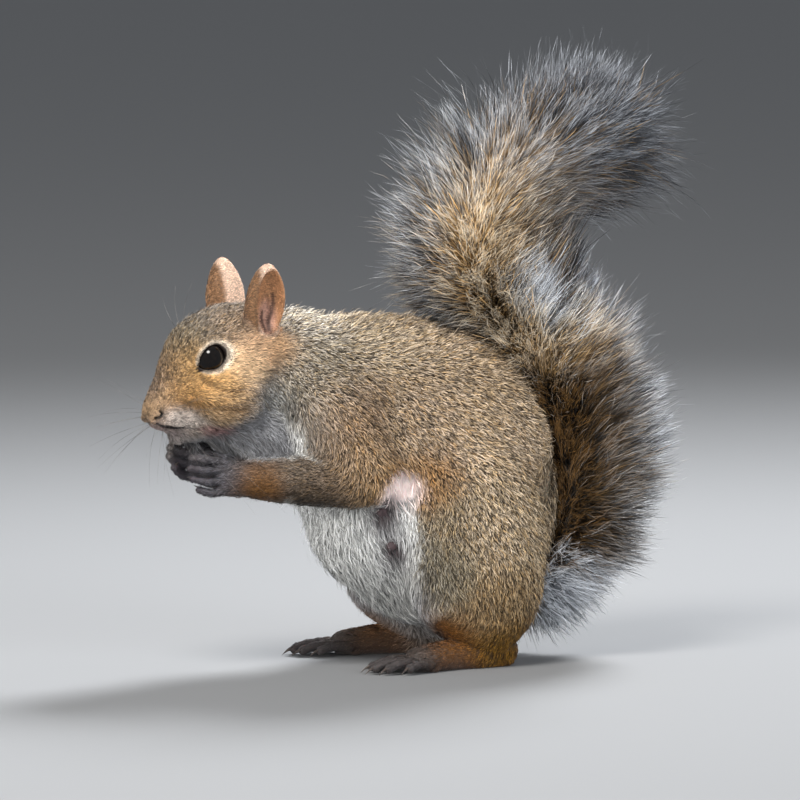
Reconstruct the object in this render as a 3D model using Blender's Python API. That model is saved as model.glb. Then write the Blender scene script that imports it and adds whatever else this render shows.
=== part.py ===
# A gray squirrel at life size, sitting up on its hind feet with both forepaws at its mouth
# and its tail rising behind its back in an S.
# Metres, +Z up. The animal faces -Y, its left side is +X, and it sits on the plane Z = 0.
# Every solid has the coat's outer shape; the thin parts (ears, hands, feet) have their own.
import math

import bmesh
import bpy
from mathutils import Euler, Matrix, Vector

MM = 0.001
GAP = 0.3 * MM  # space between two neighbouring solids
SIDES = {"left": 1, "right": -1}
SEAT = Vector((0, -5, 0)) * MM  # puts the middle of the whole animal over the origin

# Driving dimensions, in millimetres
EYE_RADIUS = 5.6
EAR_HEIGHT = 28
EAR_HALF_WIDTH = 8
EAR_WALL = 1.3
EAR_FACES = 62  # degrees that the ear's opening turns from straight ahead to the side
FORE_FINGER = 14
HIND_TOE = 15
TURN_OUT = 9  # degrees that each hind foot points away from straight ahead
TAIL_CUTS = (78, 146)  # heights at which the tail is divided into its three lengths

# How coarse each solid is: voxel size in mm, smoothing passes, share of faces kept
BODY_GRAIN = (1.6, 9, 0.035)
PAW_GRAIN = (0.55, 5, 0.034)
FOOT_GRAIN = (0.7, 5, 0.034)
TAIL_GRAIN = (3.0, 12, 0.042)

COLOURS = {
    "agouti_fur": ((0.30, 0.235, 0.16), 0.85),
    "face_fur": ((0.46, 0.29, 0.13), 0.8),
    "ear_skin": ((0.50, 0.28, 0.17), 0.6),
    "tail_fur": ((0.34, 0.28, 0.22), 0.85),
    "foot_fur": ((0.36, 0.20, 0.07), 0.8),
    "paw_skin": ((0.10, 0.09, 0.095), 0.55),
    "eye": ((0.012, 0.008, 0.006), 0.08),
}


# ---- small tools -------------------------------------------------------------------------

def clear_scene():
    for item in list(bpy.data.objects):
        bpy.data.objects.remove(item)


def material(name):
    found = bpy.data.materials.get(name)
    if found:
        return found
    colour, roughness = COLOURS[name]
    made = bpy.data.materials.new(name)
    made.use_nodes = True
    shader = made.node_tree.nodes["Principled BSDF"]
    shader.inputs["Base Color"].default_value = (*colour, 1)
    shader.inputs["Roughness"].default_value = roughness
    shader.inputs["Metallic"].default_value = 0
    return made


def to_object(name, bm):
    mesh = bpy.data.meshes.new(name)
    bm.to_mesh(mesh)
    bm.free()
    made = bpy.data.objects.new(name, mesh)
    bpy.context.scene.collection.objects.link(made)
    return made


def bake(target):
    """Applies the object's modifiers to its mesh."""
    graph = bpy.context.evaluated_depsgraph_get()
    target.data = bpy.data.meshes.new_from_object(target.evaluated_get(graph))
    target.modifiers.clear()
    return target


def add_ball(bm, centre, radii, turn=(0, 0, 0), fine=3):
    """An ellipsoid in mm; turn is in degrees about X, Y and Z."""
    rotation = Euler([math.radians(angle) for angle in turn]).to_matrix().to_4x4()
    place = Matrix.Translation(Vector(centre) * MM + SEAT)
    size = Matrix.Diagonal([*(radius * MM for radius in radii), 1])
    made = bmesh.ops.create_icosphere(bm, subdivisions=fine, radius=1, matrix=place @ rotation @ size)
    return made["verts"]


def add_hull(bm, balls, fine=2):
    """The convex hull of several ellipsoids, each (centre, radii) in mm."""
    scratch = bmesh.new()
    for centre, radii in balls:
        add_ball(scratch, centre, radii, fine=fine)
    bmesh.ops.delete(scratch, geom=scratch.edges, context="EDGES_FACES")
    hull = bmesh.ops.convex_hull(scratch, input=scratch.verts)
    spare = [item for item in hull["geom_interior"] if isinstance(item, bmesh.types.BMVert)]
    bmesh.ops.delete(scratch, geom=spare, context="VERTS")
    bmesh.ops.recalc_face_normals(scratch, faces=scratch.faces)
    mesh = bpy.data.meshes.new("hull")
    scratch.to_mesh(mesh)
    scratch.free()
    bm.from_mesh(mesh)
    bpy.data.meshes.remove(mesh)


def add_chain(bm, balls, fine=2):
    """Hulls over each pair of neighbours, so that a limb can bend."""
    for first, second in zip(balls, balls[1:]):
        add_hull(bm, [first, second], fine)


def mirrored(point, sign):
    return (point[0] * sign, point[1], point[2])


def fuse(name, bm, grain):
    """Joins overlapping shapes into one smooth, closed and lightly faceted skin."""
    voxel, passes, kept = grain
    made = to_object(name, bm)
    remesh = made.modifiers.new("fuse", "REMESH")
    remesh.mode = "VOXEL"
    remesh.voxel_size = voxel * MM
    smooth = made.modifiers.new("soften", "SMOOTH")
    smooth.factor = 0.5
    smooth.iterations = passes
    thin = made.modifiers.new("thin", "DECIMATE")
    thin.ratio = kept
    return bake(made)


def combine(target, tool, operation):
    """A Boolean that is applied at once; the tool stays as it was."""
    cut = target.modifiers.new(operation.lower(), "BOOLEAN")
    cut.operation = operation
    cut.solver = "MANIFOLD"  # EXACT leaves open edges where these fine meshes cross
    cut.object = tool
    return bake(target)


def grown(source, by=GAP):
    """A copy whose surface lies further out, for cutting a clearance."""
    made = bpy.data.objects.new(source.name + "_grown", source.data.copy())
    bpy.context.scene.collection.objects.link(made)
    push = made.modifiers.new("grow", "DISPLACE")
    push.mid_level = 0
    push.strength = by
    bake(made)
    made.hide_render = True
    return made


def copy_of(source, name):
    made = bpy.data.objects.new(name, source.data.copy())
    bpy.context.scene.collection.objects.link(made)
    return made


def discard(*items):
    for item in items:
        bpy.data.objects.remove(item)


def keep_largest(target):
    """Drops the crumbs that a cut can leave beside the main body."""
    bm = bmesh.new()
    bm.from_mesh(target.data)
    left = set(bm.verts)
    islands = []
    while left:
        queue = [left.pop()]
        island = set(queue)
        while queue:
            for edge in queue.pop().link_edges:
                for vert in edge.verts:
                    if vert in left:
                        left.remove(vert)
                        island.add(vert)
                        queue.append(vert)
        islands.append(island)
    main = max(islands, key=len)
    bmesh.ops.delete(bm, geom=[v for v in bm.verts if v not in main], context="VERTS")
    bm.to_mesh(target.data)
    bm.free()
    return target


def cut_out(whole, name, cell_balls):
    """Takes the part of whole that lies inside a cell, and leaves whole with a gap round it."""
    cells = []
    for grow in (0, GAP / MM):
        bm = bmesh.new()
        add_hull(bm, [(centre, tuple(radius + grow for radius in radii)) for centre, radii in cell_balls])
        cells.append(to_object("cell", bm))
    part = keep_largest(combine(copy_of(whole, name), cells[0], "INTERSECT"))
    keep_largest(combine(whole, cells[1], "DIFFERENCE"))
    discard(*cells)
    return part


def slice_at(target, height, keep_above):
    """Cuts with a level plane, given in mm, and closes the cut."""
    bm = bmesh.new()
    bm.from_mesh(target.data)
    up = 1 if keep_above else -1
    bmesh.ops.bisect_plane(
        bm, geom=[*bm.verts, *bm.edges, *bm.faces], dist=1e-7,
        plane_co=(0, 0, height * MM), plane_no=(0, 0, up), clear_inner=True,
    )
    rim = [edge for edge in bm.edges if edge.is_boundary]
    bmesh.ops.triangle_fill(bm, edges=rim, use_beauty=True)
    bmesh.ops.recalc_face_normals(bm, faces=bm.faces)
    bm.to_mesh(target.data)
    bm.free()
    return target


def finish(target, slot):
    target.data.materials.clear()
    target.data.materials.append(material(slot))
    target.data.shade_smooth()
    target.data.set_sharp_from_angle(angle=math.radians(50))
    return target


# ---- the body in one piece: trunk, neck, head, haunches and arms ---------------------------

NOSE = (0, -102.2, 94.0)
EYE_AT = (11.6, -82.0, 116.3)
EAR_AT = (17.8, -62.4, 132.6)
SHOULDER = (21, -37, 93)
ELBOW = (30.5, -25.5, 70.6)
MID_FOREARM = (20.5, -46, 70.6)
WRIST = (10.5, -65.5, 71.6)
HIP = (27, 19, 46)
KNEE = (29, 6, 62)
HOCK = (28.5, 23, 11)


def add_trunk(bm):
    add_ball(bm, (0, 10, 72), (36, 50, 54))  # loins and belly
    add_ball(bm, (0, -26, 91), (29, 32, 36))  # chest
    add_hull(bm, [((0, -14, 53), (25, 22, 24)), ((0, 8, 40), (30, 26, 26))])  # lower belly
    add_ball(bm, (0, 38, 62), (27, 23, 44))  # rump
    add_hull(bm, [((0, -44, 108), (23, 20, 25)), ((0, -22, 101), (25, 24, 26.5))])  # neck and nape
    add_hull(bm, [((0, -67, 90), (12, 11, 12)), ((0, -42, 86), (21, 18, 22))])  # throat
    add_hull(bm, [((0, -24, 104), (24, 22, 26.5)), ((0, 4, 98), (26, 24, 31))])  # withers


def add_head(bm):
    add_ball(bm, (0, -67, 117.3), (19.2, 21, 17.8))  # skull
    add_hull(bm, [((0, -80.8, 114.3), (14.6, 13.2, 13.4)), ((0, -69, 112), (18, 16, 15))])  # brow
    add_hull(bm, [((0, -86, 111), (12.2, 12.6, 12.4)), ((0, -96.5, 99.2), (7.4, 7.4, 7.8))])  # muzzle
    add_hull(bm, [((0, -96, 98.5), (7, 6.4, 7)), (NOSE, (4.6, 3.6, 4.4))])  # nose
    add_hull(bm, [((0, -80, 94), (12, 12, 9)), ((0, -92, 89), (5.6, 5, 4.6))])  # lower jaw
    for sign in SIDES.values():
        add_ball(bm, (11.5 * sign, -75, 101.5), (9.5, 14, 11))  # cheek
        add_ball(bm, (5 * sign, -94.5, 93.2), (5.2, 6.4, 5.0))  # whisker pad
        add_ball(bm, (10.2 * sign, -82.4, 121), (5.0, 7.6, 3.8), turn=(28, 0, 0))  # ridge over the eye


def add_limbs(bm, sign):
    add_ball(bm, mirrored(HIP, sign), (19, 26, 42), turn=(6, 0, 0))  # haunch
    add_hull(bm, [(mirrored(KNEE, sign), (13, 15, 20)), (mirrored((29, 12, 34), sign), (16, 20, 24))])
    add_hull(bm, [(mirrored((29, 18, 19), sign), (11, 16, 13)), (mirrored(HOCK, sign), (8, 9, 8))])
    add_hull(bm, [(mirrored(SHOULDER, sign), (12, 16, 19)), (mirrored(ELBOW, sign), (9.5, 11, 10))])
    forearm = [(ELBOW, (9, 10.5, 10)), (MID_FOREARM, (8.4, 8, 8.8)), (WRIST, (6.4, 6, 7))]
    add_chain(bm, [(mirrored(centre, sign), radii) for centre, radii in forearm])


def whole_body():
    bm = bmesh.new()
    add_trunk(bm)
    add_head(bm)
    for sign in SIDES.values():
        add_limbs(bm, sign)
    return fuse("trunk", bm, BODY_GRAIN)


# ---- ears, eyes, hands and feet -----------------------------------------------------------

def ear(side, head_grown):
    """A thin upright cup that opens to the side and a little forwards."""
    sign = SIDES[side]
    half = EAR_HEIGHT / 2
    depth = 4.4
    bm = bmesh.new()
    bmesh.ops.create_icosphere(bm, subdivisions=4, radius=1)
    for vert in bm.verts:
        vert.co.x *= EAR_HALF_WIDTH * (1 - 0.24 * max(vert.co.z, 0) ** 2)
        vert.co.y *= depth
        vert.co.z *= half
    bmesh.ops.scale(bm, vec=(MM, MM, MM), verts=bm.verts)
    cup = to_object("ear_" + side, bm)

    bm = bmesh.new()
    inner = EAR_HALF_WIDTH - EAR_WALL
    size = Matrix.Diagonal([inner * MM, inner * MM, (half - EAR_WALL) * MM, 1])
    hollow = Matrix.Translation(Vector((0.3, -depth + 0.3, 0.4)) * MM)
    bmesh.ops.create_icosphere(bm, subdivisions=3, radius=1, matrix=hollow @ size)
    tool = to_object("ear_hollow", bm)
    combine(cup, tool, "DIFFERENCE")
    discard(tool)

    face = Matrix.Rotation(math.radians(EAR_FACES), 4, "Z")
    lean = Matrix.Rotation(math.radians(15), 4, "Y") @ Matrix.Rotation(math.radians(2), 4, "X")
    place = Matrix.Translation((Vector(EAR_AT) + Vector((0, 0, 4.5))) * MM)
    cup.data.transform(place @ lean @ face)
    if sign < 0:
        cup.data.transform(Matrix.Diagonal([-1, 1, 1, 1]))
        cup.data.flip_normals()
    cup.data.transform(Matrix.Translation(SEAT))
    thin = cup.modifiers.new("thin", "DECIMATE")
    thin.ratio = 0.13
    bake(cup)
    return keep_largest(combine(cup, head_grown, "DIFFERENCE"))


def eye(side, radius):
    bm = bmesh.new()
    centre = mirrored(EYE_AT, SIDES[side])
    add_ball(bm, centre, (radius,) * 3, fine=3)
    return to_object("eye_" + side, bm)


def add_finger(bm, root, direction, curl, length, radius):
    """Three short lengths that bend towards curl, in mm, and a claw."""
    point = Vector(root)
    heading = Vector(direction).normalized()
    balls = [(point, (radius,) * 3)]
    for step, share in enumerate((0.42, 0.32, 0.26), 1):
        point = point + heading * length * share
        heading = (heading + Vector(curl) * 0.45).normalized()
        size = radius * (1 - 0.11 * step)
        balls.append((point, (size,) * 3))
    add_chain(bm, balls)
    tip = point + heading * radius * 2.3
    add_hull(bm, [(point, (1.1, 1.1, 1.1)), (tip, (0.6, 0.6, 0.6))], 1)


def both_sides(name, bm, grain, body_grown):
    """The left paw from its shapes, its mirror image, and the space round the body cut from each."""
    left = fuse(name + "_left", bm, grain)
    right = copy_of(left, name + "_right")
    right.data.transform(Matrix.Diagonal([-1, 1, 1, 1]))
    right.data.flip_normals()
    return [keep_largest(combine(paw, body_grown, "DIFFERENCE")) for paw in (left, right)]


def forepaws(body_grown):
    """Small hands held up at the mouth: a palm, four fingers and the stub of a thumb."""
    bm = bmesh.new()
    add_chain(bm, [(WRIST, (4.8, 5, 5.8)), ((7.8, -75, 72.5), (3.6, 5, 7.2)), ((6.0, -81.5, 73.8), (2.8, 4, 7.6))])
    for rank in range(4):
        lift = 1.5 - rank  # index finger on top, little finger below
        root = (6.9 + 0.4 * rank, -83.0 + 1.0 * rank, 73.6 + 3.9 * lift)
        reach = (-0.16, -1.0, 0.12 + 0.05 * lift)
        length = FORE_FINGER * (1.0, 1.04, 0.98, 0.84)[rank]
        add_finger(bm, root, reach, (-0.40, 0.1, 0.35), length, 2.0)
    add_hull(bm, [((6.0, -77, 78), (2, 2, 2)), ((3.8, -80, 80.6), (1.6, 1.6, 1.6))])
    return both_sides("forepaw", bm, PAW_GRAIN, body_grown)


def hind_feet(body_grown):
    """The long flat feet that the animal sits on, each with five toes and their claws."""
    bm = bmesh.new()
    sole = [((0, 27, 5.4), (5.6, 6.5, 6.4)), ((0, 7, 5.2), (6.0, 8, 6.2)), ((0, -7, 4.0), (8.2, 7, 4.9))]
    add_chain(bm, sole, 3)
    for rank in range(5):
        across = rank - 2  # inner toe first
        root = (3.3 * across, -11.0 + 0.8 * across * across, 3.4)
        spread = (0.13 * across, -1.0, 0.10)
        length = HIND_TOE * (0.80, 1.0, 1.06, 0.98, 0.72)[rank]
        add_finger(bm, root, spread, (0, 0, -0.40), length, 2.3)
    # Made pointing straight ahead, then turned out about the hock and moved under it.
    pivot = Matrix.Translation(Vector((0, HOCK[1], 0)) * MM + SEAT)
    turn_out = Matrix.Rotation(math.radians(TURN_OUT), 4, "Z")
    aside = Matrix.Translation((HOCK[0] * MM, 0, 0))
    bmesh.ops.transform(bm, matrix=aside @ pivot @ turn_out @ pivot.inverted(), verts=bm.verts)
    return [slice_at(foot, 0, keep_above=True) for foot in both_sides("hind_foot", bm, FOOT_GRAIN, body_grown)]


# ---- the tail ------------------------------------------------------------------------------

# The bone's path behind the back, in mm, with the brush's half width across the animal (x),
# along it (y) and upwards (z) at each place.
TAIL_PATH = [
    ((0, 47, 17), (26, 18, 20.5)),
    ((0, 59, 25), (30, 19, 22)),
    ((0, 69, 40), (35, 24, 26)),
    ((0, 78, 56), (38, 27, 28)),
    ((0, 82.5, 74), (39, 29, 30)),
    ((0, 82, 90), (39, 30, 31)),
    ((0, 75, 106), (38, 32, 31)),
    ((0, 59, 122), (36, 33, 31)),
    ((0, 40, 136), (34, 33, 30)),
    ((0, 28, 150), (33, 35, 31)),
    ((0, 30, 167), (33, 37, 34)),
    ((0, 45, 180), (33, 39, 37)),
    ((0, 63, 188), (32, 38, 39)),
    ((0, 78, 192), (30, 35, 37)),
    ((0, 87, 196), (25, 29, 31)),
]


def tail(body_grown):
    bm = bmesh.new()
    add_chain(bm, TAIL_PATH, 3)
    brush = fuse("tail", bm, TAIL_GRAIN)
    combine(brush, body_grown, "DIFFERENCE")
    keep_largest(brush)
    half = GAP / MM / 2
    edges = [0, *TAIL_CUTS, 400]
    lengths = []
    for name, low, high in zip(("tail_base", "tail_middle", "tail_tip"), edges, edges[1:]):
        part = copy_of(brush, name)
        slice_at(part, low + (half if low else 0), keep_above=True)
        if high < 400:
            slice_at(part, high - half, keep_above=False)
        lengths.append(keep_largest(part))
    discard(brush)
    return lengths


# ---- assembly ------------------------------------------------------------------------------

def main():
    clear_scene()
    body = whole_body()
    body_grown = grown(body)

    for paw in forepaws(body_grown):
        finish(paw, "paw_skin")
    for foot in hind_feet(body_grown):
        finish(foot, "foot_fur")
    for part in tail(body_grown):
        finish(part, "tail_fur")
    ears = [ear(side, body_grown) for side in SIDES]
    for part in ears:
        finish(part, "ear_skin")
    discard(body_grown)

    for side in SIDES:
        socket = eye(side, EYE_RADIUS + GAP / MM)
        combine(body, socket, "DIFFERENCE")
        discard(socket)
        finish(eye(side, EYE_RADIUS), "eye")

    head = cut_out(body, "head", [((0, -84, 108), (34, 32, 32)), ((0, -74, 106), (34, 22, 27))])
    finish(head, "face_fur")
    for side, sign in SIDES.items():
        haunch_cell = [
            (mirrored((35, 6, 60), sign), (16, 22, 28)),
            (mirrored((35, 22, 46), sign), (19, 29, 44)),
            (mirrored((32, 20, 12), sign), (14, 20, 16)),
        ]
        upper_arm_cell = [
            (mirrored((25, -38, 94), sign), (13, 18.5, 21)),
            (mirrored(ELBOW, sign), (11, 12.5, 13)),
        ]
        forearm_cell = [
            (mirrored((26, -34, 69), sign), (13, 14, 11)),
            (mirrored(WRIST, sign), (11, 11, 9.5)),
        ]
        finish(cut_out(body, "thigh_" + side, haunch_cell), "agouti_fur")
        finish(cut_out(body, "upper_arm_" + side, upper_arm_cell), "agouti_fur")
        finish(cut_out(body, "forearm_" + side, forearm_cell), "agouti_fur")
    neck = cut_out(body, "neck", [((0, -56, 104), (50, 20, 40)), ((0, -46, 112), (50, 19, 40))])
    finish(neck, "agouti_fur")
    finish(body, "agouti_fur")


main()
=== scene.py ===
import math
import bmesh
import bpy
import numpy as np
from mathutils import Euler, Matrix, Vector
from mathutils.bvhtree import BVHTree


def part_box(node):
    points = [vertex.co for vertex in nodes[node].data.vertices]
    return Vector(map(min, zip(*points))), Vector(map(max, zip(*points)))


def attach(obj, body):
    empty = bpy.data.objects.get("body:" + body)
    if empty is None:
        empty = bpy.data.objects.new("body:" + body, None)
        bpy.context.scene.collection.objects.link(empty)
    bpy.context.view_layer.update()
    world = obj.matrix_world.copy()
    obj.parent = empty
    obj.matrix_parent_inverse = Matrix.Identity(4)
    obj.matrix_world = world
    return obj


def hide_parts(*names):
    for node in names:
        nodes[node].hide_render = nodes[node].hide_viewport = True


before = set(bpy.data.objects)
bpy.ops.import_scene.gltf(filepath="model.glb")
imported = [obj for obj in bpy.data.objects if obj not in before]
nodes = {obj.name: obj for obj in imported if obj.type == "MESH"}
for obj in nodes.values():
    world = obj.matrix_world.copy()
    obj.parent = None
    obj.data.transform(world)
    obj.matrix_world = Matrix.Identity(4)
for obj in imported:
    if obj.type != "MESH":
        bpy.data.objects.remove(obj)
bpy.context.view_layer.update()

# A gray squirrel sitting up: skin, eyes, claws, whiskers and a coat of mesh tufts.
# It faces -Y and its left side is +X. Shapes are worked out in millimetres.
mm = 0.001
sides = {"left": 1, "right": -1}
random = np.random.default_rng(11)


view = {
    "azimuth": 65, "elevation": 4.5, "distance": 3.29, "lens": 400,
    "lookAt": (0, -5, 97.4), "floor": (0.25, 0.253, 0.257), "world": 0.32, "sky": (0.9, 0.94, 1),
}
lamps = {  # place, size, power, colour, spread in degrees, whether it shows as a glint
    "key": ((1.25, -1.3, 2.4), 1.1, 70, (1, 0.97, 0.93), 180, True),
    "fill": ((2.2, 0.6, 0.9), 1.6, 9, (0.93, 0.96, 1), 90, False),
    "low": ((0.9, -2.0, 0.25), 1.4, 9, (1, 0.98, 0.95), 90, False),
    "rim": ((-1.4, 1.6, 1.8), 1.0, 17, (0.95, 0.97, 1), 50, False),
}


def setCamera():
    a, e = math.radians(view["azimuth"]), math.radians(view["elevation"])
    back = Vector((math.sin(a) * math.cos(e), -math.cos(a) * math.cos(e), math.sin(e)))
    camera = bpy.data.objects.new("camera", bpy.data.cameras.new("camera"))
    camera.data.lens = view["lens"]
    camera.data.clip_end = 100
    camera.location = Vector(view["lookAt"]) * mm + back * view["distance"]
    camera.rotation_mode = "QUATERNION"
    camera.rotation_quaternion = (-back).to_track_quat("-Z", "Y")
    bpy.context.scene.collection.objects.link(camera)
    bpy.context.scene.camera = camera


def setLight(name, place, size, power, colour, spread, glint):
    lamp = bpy.data.objects.new(name, bpy.data.lights.new(name, "AREA"))
    lamp.data.shape = "DISK"
    lamp.data.size = size
    lamp.data.energy = power
    lamp.data.color = colour
    lamp.data.spread = math.radians(spread)
    lamp.visible_glossy = glint
    lamp.location = place
    lamp.rotation_mode = "QUATERNION"
    lamp.rotation_quaternion = (Vector((0, 0, 0.1)) - lamp.location).to_track_quat("-Z", "Y")
    bpy.context.scene.collection.objects.link(lamp)


def setFloor():
    bm = bmesh.new()
    bmesh.ops.create_grid(bm, x_segments=1, y_segments=1, size=60)
    floor = meshObject("floor", bm)
    paint = bpy.data.materials.new("floorPaint")
    paint.use_nodes = True
    shader = paint.node_tree.nodes["Principled BSDF"]
    shader.inputs["Base Color"].default_value = (*view["floor"], 1)
    shader.inputs["Roughness"].default_value = 0.9
    shader.inputs["Specular IOR Level"].default_value = 0.2
    floor.data.materials.append(paint)
    floor.visible_glossy = False


def setStudio():
    setCamera()
    setFloor()
    for name, look in lamps.items():
        setLight(name, *look)
    world = bpy.data.worlds.new("studio")
    world.use_nodes = True
    sky = world.node_tree.nodes["Background"]
    sky.inputs["Color"].default_value = (*view["sky"], 1)
    sky.inputs["Strength"].default_value = view["world"]
    bpy.context.scene.world = world
    bpy.context.scene.view_settings.view_transform = "Standard"


def meshObject(name, bm):
    mesh = bpy.data.meshes.new(name)
    bm.to_mesh(mesh)
    bm.free()
    made = bpy.data.objects.new(name, mesh)
    bpy.context.scene.collection.objects.link(made)
    return made


def applyAll(thing):
    graph = bpy.context.evaluated_depsgraph_get()
    thing.data = bpy.data.meshes.new_from_object(thing.evaluated_get(graph))
    thing.modifiers.clear()
    return thing


def remeshed(thing, voxel, passes):
    blocks = thing.modifiers.new("blocks", "REMESH")
    blocks.mode = "VOXEL"
    blocks.voxel_size = voxel * mm
    soft = thing.modifiers.new("soft", "SMOOTH")
    soft.factor = 0.5
    soft.iterations = passes
    return applyAll(thing)


def addBall(bm, centre, radii, fine=3, turn=(0, 0, 0)):
    rotation = Euler([math.radians(angle) for angle in turn]).to_matrix().to_4x4()
    size = Matrix.Diagonal([*(radius * mm for radius in radii), 1])
    place = Matrix.Translation(Vector(centre) * mm) @ rotation @ size
    return bmesh.ops.create_icosphere(bm, subdivisions=fine, radius=1, matrix=place)["verts"]


def addHull(bm, balls, fine=2):
    part = bmesh.new()
    for centre, radius in balls:
        radii = radius if isinstance(radius, tuple) else (radius,) * 3
        addBall(part, centre, radii, fine)
    bmesh.ops.delete(part, geom=part.edges, context="EDGES_FACES")
    hull = bmesh.ops.convex_hull(part, input=part.verts)
    spare = [item for item in hull["geom_interior"] if isinstance(item, bmesh.types.BMVert)]
    bmesh.ops.delete(part, geom=spare, context="VERTS")
    bmesh.ops.recalc_face_normals(part, faces=part.faces)
    addMesh(bm, part)


def addMesh(bm, part):
    mesh = bpy.data.meshes.new("part")
    part.to_mesh(mesh)
    part.free()
    bm.from_mesh(mesh)
    bpy.data.meshes.remove(mesh)


def addChain(bm, balls, fine=2):
    for first, second in zip(balls, balls[1:]):
        addHull(bm, [first, second], fine)


def flip(bm):
    # turns a part for the left side into one for the right
    bmesh.ops.scale(bm, vec=(-1, 1, 1), verts=bm.verts)
    bmesh.ops.reverse_faces(bm, faces=bm.faces)


def addMirror(bm):
    # a second copy of everything in bm on the animal's right side
    twin = bm.copy()
    flip(twin)
    addMesh(bm, twin)


def cutWith(thing, tool):
    # takes the tool's shape out of the thing, and clears the tool away
    cut = thing.modifiers.new("cut", "BOOLEAN")
    cut.operation = "DIFFERENCE"
    cut.solver = "MANIFOLD"
    cut.object = tool
    applyAll(thing)
    bpy.data.objects.remove(tool)


def longEdges(bm, least):
    # the edges of a cone that run from its base to its tip
    return [edge for edge in bm.edges if abs(edge.verts[0].co.z - edge.verts[1].co.z) > least]


def readBack(items, kind, width):
    # one row of numbers for each vertex or normal of a mesh
    flat = np.empty(len(items) * width, np.float32)
    items.foreach_get(kind, flat)
    return flat.reshape(-1, width).astype(float)


def pointsOf(mesh):
    return readBack(mesh.vertices, "co", 3) / mm


def normalsOf(mesh):
    return readBack(mesh.vertex_normals, "vector", 3)


def movePoints(mesh, points):
    mesh.vertices.foreach_set("co", (points * mm).astype(np.float32).ravel())
    mesh.update()


def unit(vectors):
    return vectors / np.maximum(np.linalg.norm(vectors, axis=-1, keepdims=True), 1e-9)


def rising(values, start, over):
    # 0 up to start, then up to 1 in a straight slope
    return np.clip((values - start) / over, 0, 1)


def falling(values, end, over):
    # 0 from end on, and 1 at the distance over before it
    return np.clip((end - values) / over, 0, 1)


def middleOf(node):
    low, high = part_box(node)
    return np.array((low + high) / 2) / mm


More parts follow.
